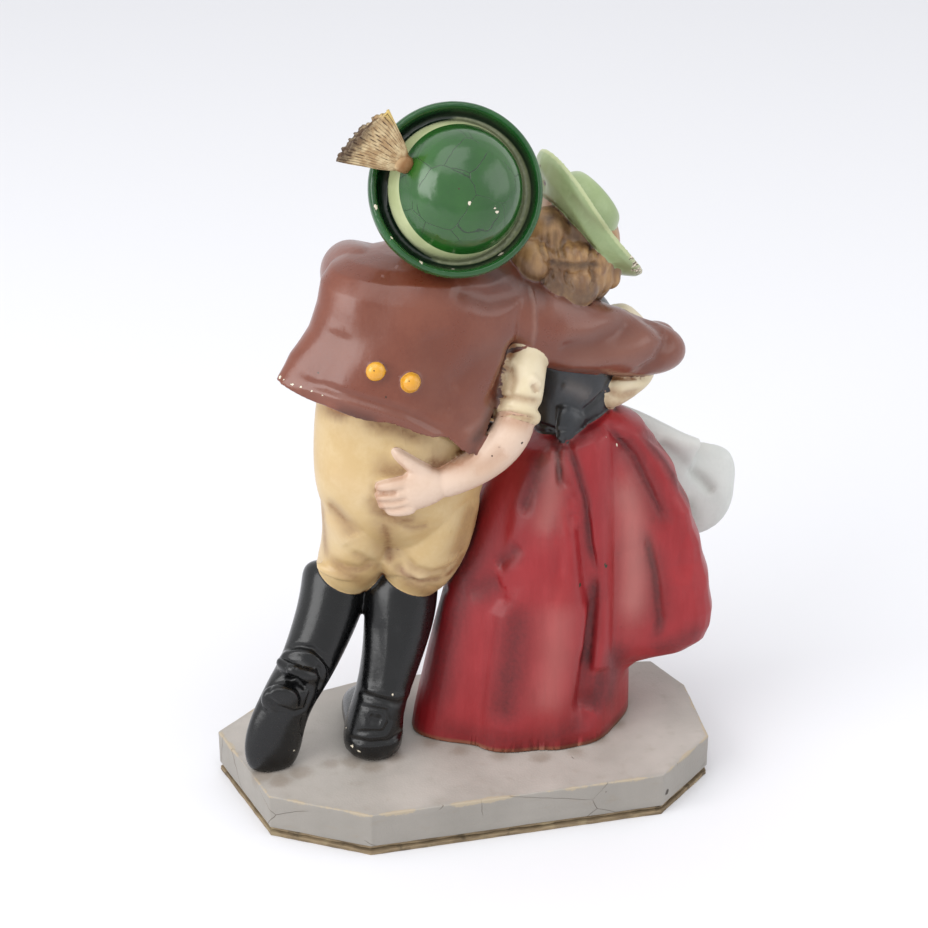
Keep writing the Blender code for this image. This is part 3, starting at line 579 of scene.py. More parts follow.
# Share of the way up, middle x and y, half width, half depth
COAT_BODY = ((0.00, -28, 2, 38, 27), (0.16, -27, 3, 38.5, 27.5), (0.34, -22.5, 4, 38.5, 27),
             (0.54, -17.5, 6, 40, 26), (0.74, -15, 8, 40.5, 25), (0.88, -15.5, 10, 36, 22.5),
             (0.96, -16.5, 12, 28, 18), (1.00, -18, 13, 14, 10))
# Degrees round from +X, height of the hem, flare beyond the body
COAT_HEM = ((-180, 165, 9), (-150, 160, 2), (-110, 155, 2), (-78, 147, 3), (-58, 136, 5),
            (-34, 151, 3), (-18, 160, 3), (20, 166, 2), (60, 160, 3), (120, 158, 3), (160, 164, 5),
            (180, 165, 9))
COAT_TOP = 208
# Share of the hem's reach, and height, of the lining that closes the coat below
COAT_LINING = (0.72, 154)


def coat_place(degrees, share):
    """A point of the coat. A share below zero is the lining, which closes the coat inside its hem."""
    for lower, upper in zip(COAT_BODY, COAT_BODY[1:]):
        if share <= upper[0]:
            break
    mix = min(1.0, max(0.0, (share - lower[0]) / (upper[0] - lower[0])))
    x, y, wide, deep = (a + (b - a) * mix for a, b in zip(lower[1:], upper[1:]))
    hem, flare = around(COAT_HEM, degrees)
    turn = math.radians(degrees)
    out = 1 + flare * max(0.0, 1 - max(share, 0) * 2.6) ** 1.6 / wide
    height = hem + (COAT_TOP - hem) * share - 4 * math.cos(turn) * math.sin(math.pi * share)
    if share < 0:
        out, height = COAT_LINING
    return at(x + wide * out * math.cos(turn), y + deep * out * math.sin(turn), height)


coat_rows = (-1, 0, 0.08, 0.16, 0.25, 0.34, 0.44, 0.54, 0.64, 0.74, 0.81, 0.88, 0.92, 0.96, 1.0)
bell("coat", COAT, coat_rows, COAT_SIDES, coat_place)
print("coat rows:", len(coat_rows))

# %% [markdown]
# His right arm reaches over her shoulders, and his left arm is bent in front of both. His hat has its crown
# towards us, the way his bowed head points. Two domed buttons sit on the coat's back.

# %% His arms, head and buttons
def arms_of_him():
    """Both sleeves and hands, and the shirt at his neck."""
    right_sleeve = ((2, 8, 190, 17, 15), (16, 6, 182, 17.6, 15), (30, 5, 174, 16.6, 14),
                    (46, 7, 168, 15.0, 14), (60, 9, 163, 13.8, 13.6), (74, 11, 158.4, 12.0, 12.6),
                    (86, 14, 155.4, 9.4, 9.8), (90.6, 17, 154.2, 4, 5))
    limb("right_sleeve", COAT, right_sleeve, count=12)
    limb("right_cuff", COAT, ((84, 15, 157, 9, 10), (85, 28, 153, 10.2, 10.2), (79, 41, 147, 9.6, 9.6),
                              (68, 49, 142, 9.2, 9)), count=10, face=(0, 0, 1))
    limb("right_hand", SKIN, ((72, 47, 143, 6, 5.6), (62, 50, 139, 7.6, 4.6), (52, 47, 136, 7, 4),
                              (47, 43, 135, 4, 2.6)), count=8, face=(0, 0, 1))
    left_sleeve = ((-36, 8, 194, 13, 14), (-38.5, 20, 194.5, 13.6, 15), (-40, 36, 193, 12.6, 13),
                   (-34, 48, 190, 11, 11), (-22, 54, 186, 9.6, 9.6), (-12, 54, 185, 9, 9))
    limb("left_sleeve", COAT, left_sleeve, count=12, face=(0, 0, 1))
    limb("left_hand", SKIN, ((-14, 54, 185, 6, 5.4), (-5, 53, 186, 7.4, 4.6), (4, 50, 187, 6.6, 4),
                             (8, 48, 188, 3.6, 2.6)), count=8, face=(0, 0, 1))
    limb("shirt_front", BLOUSE, ((-16, 26, 168, 12, 9), (-14, 28, 184, 14, 10), (-13, 28, 198, 11, 9),
                                 (-12, 25, 208, 7, 7)), count=10)


HIS_HAT_AXIS = Vector((-0.087, -0.904, 0.418)).normalized()
HIS_CROWN_AXIS = (HIS_HAT_AXIS + Vector((0.14, 0, -0.04))).normalized()
HIS_HAT_PLACE = (-6.6, 2, 231.8)


def head_of_him():
    """Neck, head and hair, and the hat as two turned forms, its crown a little askew on the brim."""
    neck = ((-16, 12, 200, 12, 11), (-12, 16, 212, 10.5, 10), (-8, 19, 222, 10, 10))
    limb("his_neck", SKIN, neck, count=10)
    ball("his_head", SKIN, (-4, 17, 227), (19, 18, 19))
    limb("his_face", SKIN, ((2, 20, 223, 12, 13), (11, 23, 220, 11, 12), (16, 25, 218, 8, 9),
                            (18, 26, 217, 3.6, 4.4)), count=8)
    ball("his_hair", HAIR, (-6, 12, 226), (20.5, 16, 20))
    brim = ((0, -1.5), (24, -1.5), (30.2, 0.6), (32.6, 5.0), (32.2, 9.4), (30.4, 10.4), (29.2, 8.8),
            (28.4, 4.6), (27.2, 3.6), (0, 3.4))
    turned("his_hat_brim", HIS_HAT, brim, HIS_HAT_PLACE, HIS_HAT_AXIS, 64)
    crown = ((0, 0), (26.4, 0), (26.2, 3.6), (24.0, 10), (23.6, 10.6), (23.0, 12), (21.4, 17.4),
             (17.2, 23.4), (9.8, 27.2), (0, 28.4))
    turned("his_hat_crown", HIS_HAT, crown, HIS_HAT_PLACE, HIS_CROWN_AXIS, 64)


def buttons():
    """Two buttons at the back of the coat."""
    for i, (x, y, z) in enumerate(((-42.6, -22.6, 174.6), (-29.6, -24.4, 169.4))):
        ball(f"coat_button_{i + 1}", BUTTON, (x, y, z), (3.8, 3.0, 3.8))


arms_of_him()
head_of_him()
buttons()
print("lumps:", len(clay))

# %% [markdown]
# ## Casting
# First we stop the last small holes, where light would shine through between arms, hair and hats.

# %% Last lumps
ball("cleft", CLOTH, (-31, 5, 85), (7, 9, 10))
ball("hair_behind_locks", HAIR, (51, 12, 192), (9, 8, 10))
ball("hair_in_gap", HAIR, (53, 7.5, 195), (5.5, 4.5, 6))
ball("hair_in_hole", HAIR, (50.6, 4.5, 196.8), (4.6, 4, 4.8))
ball("coat_corner", COAT, (4.4, -8, 139), (3.8, 3.8, 4.2))
ball("hair_under_his_hat", HAIR, (25.5, 5.5, 201.5), (8, 8, 8))
limb("sleeve_root", COAT, ((7.6, -9.6, 163, 1.8, 2.2), (6.4, -9.8, 158, 2.6, 2.8), (4.4, -10, 151, 2.8, 2.8),
                           (2.4, -10, 145, 2.4, 2.4), (0.8, -9.6, 141, 1.4, 1.8)))
print("lumps:", len(clay))

# %% [markdown]
# A real figure leaves its mould in one skin, with soft inner corners where the clay was smoothed. Joining the
# lumps and remeshing them with small voxels gives just that. Before they melt, the lumps of each paint are kept
# as a search tree, which tells later which paint lies where.

# %% Melt the clay into one casting
GRAIN = 0.72 * STEP


def tree_of(*pieces):
    """A search tree over all the faces of some pieces."""
    bm = bmesh.new()
    for piece in pieces:
        bm.from_mesh(piece.data)
    tree = BVHTree.FromBMesh(bm)
    bm.free()
    return tree


lumps_of = {}
for lump in clay:
    lumps_of.setdefault(lump["paint"], []).append(lump)
paint_skins = {paint: tree_of(*lumps) for paint, lumps in lumps_of.items()}

couple = join(clay)
couple.name = "dancing_couple"
apply_modifier(couple, "Melt", "REMESH", mode="VOXEL", voxel_size=GRAIN)
apply_modifier(couple, "Soften", "SMOOTH", factor=0.5, iterations=3)
print("casting:", len(couple.data.vertices), "points")

# %% [markdown]
# ## Carving
# Folds, seams and locks of hair are cut into the casting with a wire tool, along lines that the photograph
# shows. A stroke here is a row of pixels, a width and a depth in steps. Each pixel is looked up on the casting
# along its line of sight, and the points near that line are moved along their normals. A negative depth
# raises a ridge. Sculpting by hand would do the same, but a list of strokes can be read and corrected.

# %% Carving strokes
def points_of(obj):
    """Places and normals of an object's points, as arrays."""
    count = len(obj.data.vertices)
    places = np.empty(count * 3)
    obj.data.vertices.foreach_get("co", places)
    normals = np.empty(count * 3)
    obj.data.vertex_normals.foreach_get("vector", normals)
    return places.reshape(-1, 3), normals.reshape(-1, 3)


def move_points(obj, places):
    obj.data.vertices.foreach_set("co", places.ravel())
    obj.data.update()


def seen_place(tree, column, row):
    """Where the line of sight through a pixel meets the casting, or None."""
    return tree.ray_cast(CAMERA_PLACE, line_of_sight(column, row))[0]


def stroke_line(tree, pixels, gap=1.0):
    """Places on the casting along a row of pixels. The gap between them is in pixels."""
    found = []
    for (x0, y0), (x1, y1) in zip(pixels, pixels[1:]):
        count = max(2, int(math.hypot(x1 - x0, y1 - y0) / gap))
        for i in range(count):
            place = seen_place(tree, x0 + (x1 - x0) * i / count, y0 + (y1 - y0) * i / count)
            if place is not None:
                found.append(place)
    last = seen_place(tree, *pixels[-1])
    return np.array(found + ([last] if last is not None else []))


def reach_to_line(places, line, reach):
    """Which points lie within reach of a line, and each one's distance and share of the way along."""
    low, high = line.min(0) - reach, line.max(0) + reach
    near = np.flatnonzero(((places > low) & (places < high)).all(1))
    gaps = np.linalg.norm(places[near][:, None] - line[None], axis=2)
    closest = gaps.argmin(1)
    gap = gaps[np.arange(len(near)), closest]
    kept = gap < reach
    return near[kept], gap[kept], closest[kept] / max(1, len(line) - 1)


def carve(obj, strokes):
    """Cut each stroke (width, depth, pixels) into the object, fading at both ends."""
    tree = tree_of(obj)
    places, normals = points_of(obj)
    moved = places.copy()
    for width, depth, pixels in strokes:
        line = stroke_line(tree, pixels)
        if len(line) < 2:
            continue
        near, gap, along = reach_to_line(places, line, 3 * width * STEP)
        ends = np.clip(np.minimum(along, 1 - along) * 6 + 0.25, 0, 1)
        cut = depth * STEP * np.exp(-(gap / (width * STEP)) ** 2) * ends
        moved[near] -= normals[near] * cut[:, None]
    move_points(obj, moved)
    print("strokes:", len(strokes))


# %% [markdown]
# Coat and sleeve are smooth with a few soft pulls at the armpit and a raised mould seam.

# %% Folds of the coat
coat_folds = [
    (7.0, 1.0, ((392, 262), (384, 300), (372, 332), (332, 352))),
    (5.0, 1.2, ((528, 352), (505, 350), (478, 362), (448, 392))),
    (3.6, 1.2, ((514, 362), (501, 385), (489, 410))),
    (5.0, 1.9, ((556, 352), (592, 347), (616, 336), (636, 318))),
    (4.0, -1.2, ((556, 336), (590, 330), (612, 318), (628, 304))),
    (5.0, -1.3, ((560, 364), (600, 362), (632, 352), (658, 330))),
    (3.0, 1.5, ((636, 374), (656, 362), (667, 344), (668, 330))),
    (4.0, 1.2, ((640, 310), (650, 322), (664, 334))),
    (4.0, 1.4, ((452, 286), (490, 298), (524, 292))),
    (6.0, -1.0, ((545, 300), (580, 306), (606, 300))),
    (0.8, -0.8, ((530, 284), (534, 305), (535, 330), (531, 350))),
    (0.9, 0.7, ((596, 374), (625, 378), (658, 378))),
    (1.8, 0.7, ((303, 380), (355, 397), (405, 413), (452, 436))),
    (1.5, -0.7, ((296, 386), (355, 404), (405, 419), (455, 445))),
    (2.4, -0.8, ((462, 440), (480, 425), (497, 398))),
    (6.0, 0.9, ((340, 330), (330, 360), (318, 384))),
    (9.0, 1.0, ((430, 330), (440, 380), (446, 420))),
]
print("strokes in the coat:", len(coat_folds))

# %% [markdown]
# The breeches are baggy. They crease round the cleft between the legs and bulge over the tops of the boots.

# %% Folds of the breeches
breeches_folds = [
    (4.5, 0.7, ((384, 512), (387, 536), (391, 564))),
    (3.5, 0.9, ((326, 502), (336, 510), (348, 524), (356, 538))),
    (4.5, -0.6, ((324, 518), (336, 530), (350, 546))),
    (2.5, 0.6, ((400, 524), (414, 527), (430, 525))),
    (5.0, -0.6, ((330, 470), (350, 488), (372, 500))),
    (2.5, 0.9, ((334, 562), (345, 567), (360, 569), (376, 562))),
    (2.0, 0.7, ((352, 552), (366, 560), (382, 570))),
    (2.0, 0.9, ((394, 560), (402, 573), (418, 581), (446, 578))),
    (2.2, -0.6, ((398, 566), (410, 577), (430, 580))),
    (1.8, 0.7, ((406, 556), (414, 568), (432, 573), (456, 566))),
    (2.0, 0.7, ((466, 548), (458, 562), (444, 574))),
    (1.5, 0.6, ((426, 585), (438, 589), (448, 590))),
    (5.0, 0.9, ((474, 500), (466, 530), (456, 560))),
]
print("strokes in the breeches:", len(breeches_folds))

# %% [markdown]
# Boots have a stitched heel plate, an ankle fold that wraps round like a strap, and a welt along the sole.
# Hair is drawn with many narrow cuts that follow each lock.

# %% Boots and hair
boot_lines = [
    (1.2, 1.3, ((276, 655), (284, 648), (298, 646), (312, 648), (324, 658), (330, 668))),
    (1.6, -0.9, ((276, 662), (286, 654), (300, 652), (313, 655), (323, 666), (326, 680))),
    (1.1, 1.0, ((318, 664), (322, 678), (318, 692))),
    (2.4, -1.4, ((287, 669), (297, 670))),
    (1.2, 2.0, ((285, 680), (296, 680), (307, 689))),
    (0.8, 0.9, ((267, 696), (278, 707), (295, 712), (305, 709), (311, 692), (309, 684))),
    (0.8, 0.5, ((267, 694), (272, 684), (284, 679))),
    (0.9, 0.9, ((304, 714), (302, 730), (304, 746), (296, 762), (286, 770))),
    (1.2, 0.7, ((320, 690), (315, 705), (311, 725))),
    (1.4, 1.0, ((362, 694), (380, 700), (397, 704), (411, 700))),
    (1.6, -0.8, ((363, 688), (380, 693), (397, 697), (411, 694))),
    (2.6, 1.4, ((368, 718), (382, 722))),
    (0.9, 0.9, ((360, 706), (386, 711), (390, 722), (384, 732), (356, 732))),
    (1.0, 0.9, ((348, 738), (370, 743), (390, 741), (411, 724))),
    (3.0, 0.8, ((378, 620), (379, 655), (377, 690))),
    (2.6, 0.7, ((396, 625), (396, 655), (392, 688))),
]
hair_lines = [
    (1.3, 1.4, ((543, 261), (560, 264), (576, 266), (592, 264), (603, 266))),
    (0.9, 1.0, ((565, 236), (561, 248), (565, 261))),
    (0.8, 0.8, ((540, 236), (541, 250), (548, 262))),
    (0.8, 0.8, ((547, 230), (547, 246), (552, 260))),
    (0.8, 0.8, ((555, 228), (555, 244), (558, 260))),
    (0.6, 0.5, ((573, 240), (573, 262))),
    (0.6, 0.5, ((582, 242), (583, 263))),
    (0.8, 1.0, ((591, 246), (590, 263))),
    (0.9, 1.0, ((567, 266), (566, 278), (573, 292))),
    (0.7, 0.6, ((549, 266), (552, 280), (560, 290))),
    (0.6, 0.5, ((557, 266), (560, 278), (565, 288))),
    (0.6, 0.5, ((579, 268), (581, 281), (580, 295))),
    (0.8, 1.0, ((590, 266), (594, 278), (589, 293))),
]
print("strokes in boots and hair:", len(boot_lines + hair_lines))

# %% [markdown]
# Her sleeve is gathered above the cuff, her bodice is pleated where it meets the skirt, and the skirt has broad
# hollows between its long folds, which are already in the bell.

# %% Sleeve, hand, bodice and skirt
her_lines = [
    (1.0, 1.0, ((496, 398), (510, 396), (530, 400), (541, 402))),
    (1.4, -0.7, ((496, 405), (512, 403), (530, 407), (540, 410))),
    (1.0, 1.1, ((495, 414), (510, 412), (528, 416), (538, 420))),
    (2.0, 1.0, ((506, 364), (513, 380), (508, 396))),
    (2.0, -0.9, ((530, 376), (541, 386))),
    (1.2, 0.9, ((532, 384), (537, 393))),
    (0.9, 1.2, ((377, 494), (388, 494), (398, 493))),
    (0.6, 0.6, ((380, 502), (392, 503), (406, 500))),
    (0.6, 0.5, ((382, 509), (394, 510), (406, 507))),
    (3.0, 0.8, ((470, 470), (490, 464), (508, 450))),
    (0.8, 0.8, ((540, 424), (556, 430), (568, 430))),
    (0.7, 0.6, ((546, 430), (560, 436))),
    (1.0, 0.9, ((582, 412), (594, 402), (604, 392))),
    (2.4, -0.8, ((562, 384), (578, 390), (590, 398))),
    (1.8, 1.2, ((606, 388), (620, 396), (640, 392))),
    (3.0, 1.0, ((520, 545), (508, 558), (496, 566))),
    (5.0, 1.0, ((500, 578), (482, 588), (464, 592))),
    (1.3, 1.6, ((556, 438), (558, 462), (560, 486))),
    (1.5, 1.8, ((566, 438), (577, 469), (586, 501), (590, 545), (597, 574))),
    (2.4, 1.6, ((597, 572), (589, 630), (586, 676))),
    (1.6, 1.5, ((606, 424), (634, 456), (651, 492), (668, 526))),
    (2.0, 1.5, ((645, 530), (655, 574), (660, 620), (656, 643))),
    (5.0, 2.0, ((603, 668), (599, 690), (588, 712))),
    (4.0, 0.7, ((590, 620), (586, 660), (574, 716))),
    (6.0, -0.7, ((560, 600), (556, 660), (545, 720))),
    (6.0, 1.2, ((520, 600), (512, 660), (500, 730))),
    (5.0, -1.2, ((622, 470), (632, 520), (634, 580), (630, 630))),
    (4.5, 1.0, ((612, 430), (638, 462), (654, 500), (668, 530))),
    (5.0, 0.8, ((648, 540), (657, 585), (660, 630))),
    (3.4, 1.2, ((541, 446), (534, 480), (522, 516))),
    (4.0, -1.0, ((552, 446), (552, 490), (545, 540))),
    (2.4, 1.2, ((688, 468), (702, 480), (714, 494))),
    (3.0, 1.0, ((640, 430), (668, 450), (690, 468))),
    (3.0, -0.9, ((650, 434), (684, 444), (712, 446))),
]
print("strokes in her clothes:", len(her_lines))

# %% [markdown]
# Both faces are turned to each other and hidden from the viewer of the photograph, so they are simple and calm.
# Each feature lies where a line from outside towards the middle of the head meets it. In turn they are nose,
# both eyes, both brows, mouth, chin and cheek, each with a direction, a width and a height.

# %% Faces
HIS_MIDDLE, HER_MIDDLE = (2, 20, 223), (38, 25, 203)
OUTSIDE_HEAD = 34
HIS_FEATURES = (
    ((0.90, 0.45, -0.12), 3.2, 2.6), ((0.62, 0.78, 0.10), 3.0, -1.3), ((0.98, 0.02, 0.10), 3.0, -1.3),
    ((0.60, 0.74, 0.32), 2.8, 0.9), ((0.95, 0.02, 0.32), 2.8, 0.9), ((0.78, 0.42, -0.46), 1.2, -0.8),
    ((0.74, 0.40, -0.62), 3.0, 0.9), ((0.45, 0.88, -0.16), 4.5, 0.7))
HER_FEATURES = (
    ((-0.96, 0.20, -0.02), 2.4, 2.4), ((-0.74, 0.64, 0.16), 2.6, -1.1), ((-0.92, -0.34, 0.16), 2.6, -1.1),
    ((-0.72, 0.60, 0.38), 2.4, 0.7), ((-0.90, -0.30, 0.38), 2.4, 0.7), ((-0.90, 0.22, -0.36), 1.1, -0.7),
    ((-0.84, 0.20, -0.56), 2.6, 0.8), ((-0.60, 0.78, -0.14), 4.0, 0.6))


def outer_place(tree, middle, direction):
    """Where a line from outside towards a middle first meets the casting."""
    direction = Vector(direction).normalized()
    return tree.ray_cast(at(*middle) + direction * OUTSIDE_HEAD * STEP, -direction)[0]


def push(obj, middle, features):
    """Raise or press the surface round each feature (direction, width, height)."""
    tree = tree_of(obj)
    places, normals = points_of(obj)
    moved = places.copy()
    for direction, width, height in features:
        place = np.array(outer_place(tree, middle, direction))
        gap = np.linalg.norm(places - place, axis=1) / (width * STEP)
        moved += normals * (height * STEP * np.exp(-gap ** 2))[:, None]
    move_points(obj, moved)


for middle, features in ((HIS_MIDDLE, HIS_FEATURES), (HER_MIDDLE, HER_FEATURES)):
    push(couple, middle, features)
carve(couple, coat_folds + breeches_folds + boot_lines + hair_lines + her_lines)

# %% [markdown]
# The casting is now thinned to keep its file small. Decimate spends its triangles where the surface bends, so
# folds and fingers stay sharp. Boots and hem are pressed flat on the level of the soles.

# %% Thin and stand
MOST_TRIANGLES = 190000
for vert in couple.data.vertices:
    vert.co.z = max(vert.co.z, SOLES)
triangles = sum(len(face.vertices) - 2 for face in couple.data.polygons)
if triangles > MOST_TRIANGLES:
    apply_modifier(couple, "Thin", "DECIMATE", ratio=MOST_TRIANGLES / triangles)
couple.data.shade_smooth()
print("casting:", len(couple.data.polygons), "faces")

# %% [markdown]
# ## Where each paint lies
# The painter followed the forms, so the border between two paints runs where two lumps meet. For each point we
# measure how much nearer it is to one paint's lumps than to any other's, and keep that number as an attribute.
# Zero is the border itself. A shader can cut such a number sharply at zero, which gives a clean brushed edge
# that doesn't follow the triangles.

# %% Distance to each paint
PAINTS = (COAT, CLOTH, BOOT, SKIRT, BLOUSE, SKIN, BODICE, APRON, HAIR, HIS_HAT, HER_HAT, BUTTON)
FAR = 4.0


def keep_number(obj, name, values):
    """Store one number for each point of an object."""
    layer = obj.data.attributes.new(name, "FLOAT", "POINT")
    layer.data.foreach_set("value", np.asarray(values, np.float32))


spots_on_couple = [Vector(place) for place in points_of(couple)[0]]
gaps = np.full((len(PAINTS), len(spots_on_couple)), FAR)
for i, paint in enumerate(PAINTS):
    for j, place in enumerate(spots_on_couple):
        gap = paint_skins[paint].find_nearest(place, FAR * STEP)[3]
        if gap is not None:
            gaps[i, j] = gap / STEP
for i, paint in enumerate(PAINTS):
    others = np.delete(gaps, i, axis=0).min(0)
    keep_number(couple, paint, np.clip(others - gaps[i], -FAR, FAR))
print("paints:", len(PAINTS))

# %% [markdown]
# Wash gathers where a brush can't wipe it off, and shade falls in the same hollows, so this darkening is both
# wash and painted shade. Two numbers say where: how much of the sky a point can't see within a few steps, and
# how hollow the surface is just there. Both are measured on the mesh and kept, so the wash and painted shade
# stay in place from every side.

# %% Hollows
SKY_REACH = 9.0
SKY_RAYS = 14
SKY_LIFT = 0.25
SKY_EDGE = 0.92
GOLDEN_TURN = 2.39996


def sky_directions(count):
    """Directions spread evenly over a half ball, more of them near its top."""
    found = []
    for i in range(count):
        high = math.sqrt(1 - (i + 0.5) / count * SKY_EDGE)
        turn = i * GOLDEN_TURN
        flat = math.sqrt(1 - high * high)
        found.append(Vector((flat * math.cos(turn), flat * math.sin(turn), high)))
    return found


def hidden_shares(obj, rays, reach):
    """For each point, the share of its sky that the object itself hides within reach."""
    tree = tree_of(obj)
    directions = sky_directions(rays)
    spots, ups = points_of(obj)
    shares = np.zeros(len(spots))
    for i, (spot, up) in enumerate(zip(spots, ups)):
        up = Vector(up)
        side = up.orthogonal().normalized()
        fore = up.cross(side)
        start = Vector(spot) + up * SKY_LIFT * STEP
        hidden = 0.0
        for x, y, z in directions:
            gap = tree.ray_cast(start, side * x + fore * y + up * z, reach * STEP)[3]
            if gap is not None:
                hidden += 1 - 0.6 * gap / (reach * STEP)
        shares[i] = hidden / rays
    return shares


def hollowness(obj, passes):
    """How far each point lies below the mean of its neighbours, in steps, spread over some passes."""
    count = len(obj.data.vertices)
    ends = np.empty(len(obj.data.edges) * 2, np.int64)
    obj.data.edges.foreach_get("vertices", ends)
    ends = ends.reshape(-1, 2)
    spots, ups = points_of(obj)
    links = np.bincount(ends.ravel(), minlength=count)[:, None]

    def neighbours(values):
        total = np.zeros_like(values)
        np.add.at(total, ends[:, 0], values[ends[:, 1]])
        np.add.at(total, ends[:, 1], values[ends[:, 0]])
        return total / links

    soft = spots
    for _ in range(passes):
        soft = neighbours(soft)
    below = ((soft - spots) * ups).sum(1, keepdims=True) / STEP
    return neighbours(below)[:, 0]


hidden = hidden_shares(couple, SKY_RAYS, SKY_REACH)
hollow = hollowness(couple, 5)
keep_number(couple, "hidden", hidden)
keep_number(couple, "hollow", np.clip(hollow, -1, 1))
print(f"hidden {hidden.mean():.2f}, hollow {hollow.min():.2f} to {hollow.max():.2f}")

# %% [markdown]
# The painter also drew the wash along each carved line, and the same lines stand for the shade in the creases,
# so they are wash and painted shade. Every cut gets a soft dark line that follows it, as strong as the cut is
# deep. Some more lines are only painted: round the hand, under the hems, low on the skirt.

# %% Wash along the lines
painted_lines = [
    (2.6, 1.4, ((497, 372), (500, 392), (493, 410), (484, 430))),
    (1.6, 1.2, ((545, 196), (556, 214), (568, 232), (590, 250))),
    (3.0, 1.0, ((612, 262), (626, 268), (632, 276))),
    (3.0, 1.3, ((380, 478), (384, 470), (396, 472), (410, 474))),
    (3.0, 1.4, ((424, 458), (440, 466), (462, 462), (480, 450))),
    (2.0, 1.5, ((316, 406), (358, 417), (405, 431), (430, 442))),
    (1.6, 1.4, ((384, 520), (388, 545), (391, 566))),
    (1.4, 1.2, ((334, 562), (345, 568), (360, 570), (376, 562))),
    (1.2, 1.3, ((396, 562), (404, 574), (420, 581), (446, 578))),
    (1.2, 1.2, ((326, 502), (336, 510), (348, 524))),
    (1.2, 1.0, ((400, 524), (414, 528), (430, 525))),
    (1.6, 1.3, ((466, 548), (458, 564), (444, 578))),
    (0.8, 1.4, ((496, 416), (512, 414), (536, 421))),
    (1.2, 1.1, ((497, 398), (512, 397), (540, 402))),
    (1.2, 1.4, ((376, 480), (377, 500), (384, 514), (404, 519))),
    (0.3, -0.8, ((530, 284), (534, 305), (535, 330), (531, 350))),
    (2.6, 1.2, ((375, 492), (378, 510), (396, 520), (420, 520))),
    (2.2, 1.5, ((499, 376), (496, 398), (486, 426), (470, 448))),
    (3.0, 1.0, ((326, 556), (345, 572), (366, 584), (392, 566))),
    (3.0, 1.0, ((396, 578), (420, 588), (440, 600), (456, 582))),
    (3.0, 1.2, ((488, 492), (476, 516), (472, 540), (456, 584))),
    (2.6, 1.0, ((322, 500), (324, 530), (326, 560))),
    (2.2, 1.2, ((499, 418), (512, 420), (534, 424))),
    (2.2, 0.9, ((610, 392), (606, 404), (628, 402))),
    (4.0, 1.2, ((545, 262), (556, 282), (580, 298), (606, 294))),
    (5.0, 1.3, ((480, 276), (505, 276), (530, 284), (556, 296))),
    (6.0, 1.2, ((476, 520), (462, 580), (444, 640), (428, 716))),
    (5.0, 0.9, ((430, 728), (480, 740), (540, 744), (600, 716))),
    (5.0, 1.1, ((616, 640), (612, 680), (606, 712))),
    (4.0, 1.2, ((542, 442), (562, 446), (600, 420))),
    (4.0, 0.9, ((650, 652), (680, 642), (704, 630))),
    (2.4, 1.2, ((636, 430), (664, 460), (690, 504), (699, 530))),
    (1.6, 1.3, ((545, 226), (553, 214), (548, 196))),
    (1.2, 0.9, ((566, 190), (588, 214), (612, 234))),
]
faint_folds = [(width, depth * 0.3, pixels) for width, depth, pixels in coat_folds]
print("painted lines:", len(painted_lines))


# %% Wash strokes
def keep_wash_and_shade(obj, strokes):
    """Store how strongly the strokes darken each point, as wash and painted shade, and how much the raised ones
    lighten it, as rubbed paint and painted highlight.
    """
    tree = tree_of(obj)
    spots, _ = points_of(obj)
    dark, light = np.zeros(len(spots)), np.zeros(len(spots))
    for width, depth, pixels in strokes:
        line = stroke_line(tree, pixels, 3.0 if width > 2 else 1.5)
        if len(line) < 2:
            continue
        near, gap, along = reach_to_line(spots, line, 4 * width * STEP)
        ends = np.clip(np.minimum(along, 1 - along) * 5 + 0.2, 0, 1)
        reach = 1.2 * width + 0.5
        share = np.exp(-(gap / (reach * STEP)) ** 2) * ends * min(1.0, abs(depth) / 1.4)
        into = dark if depth > 0 else light
        into[near] = np.maximum(into[near], share)
    keep_number(obj, "line_wash_and_shade", dark)
    keep_number(obj, "line_light", light)
    print(f"washed points: {(dark > 0.3).sum()}")


keep_wash_and_shade(couple, faint_folds + breeches_folds + boot_lines + hair_lines + her_lines + painted_lines)

# %% [markdown]
# ## Brush, plinth and board
# The brush in his hat is a fan of bristles, cut off aslant. We pull a ring up through the fan, and then press
# grooves into its two flat sides, one for each bristle. The grooves run together at the foot, as bristles do.

# %% Brush in the hat
TUFT_LENGTH, TUFT_WIDE, TUFT_THICK, TUFT_ROOT, TUFT_PLUG = 20.0, 13.0, 4.25, 3.2, 3.5
TUFT_SLANT = 0.14
GROOVE_DEPTH = 1.1
TUFT_SIDES = 144
TUFT_FOOT = (-27.5, -7.4, 247.4)
BRISTLES = 19

tuft_lean = Vector((-0.80, 0.06, 0.60)).normalized()
tuft_face = Vector((-0.16, -0.95, 0.26))
tuft_face = (tuft_face - tuft_lean * tuft_face.dot(tuft_lean)).normalized()
tuft_side = tuft_lean.cross(tuft_face)
chance = random.Random(7)
bristle_ends = [chance.uniform(0, 1) for _ in range(BRISTLES + 2)]


def bristle_groove(edge, flat, share):
    """Which bristle a point belongs to, and 1 on its back, falling to 0 in the groove beside it."""
    bristle = (edge + 1) / 2 * BRISTLES + 0.35 * math.sin(6 * share + 2 * flat)
    return int(bristle), abs(math.sin(math.pi * bristle)) ** 0.6


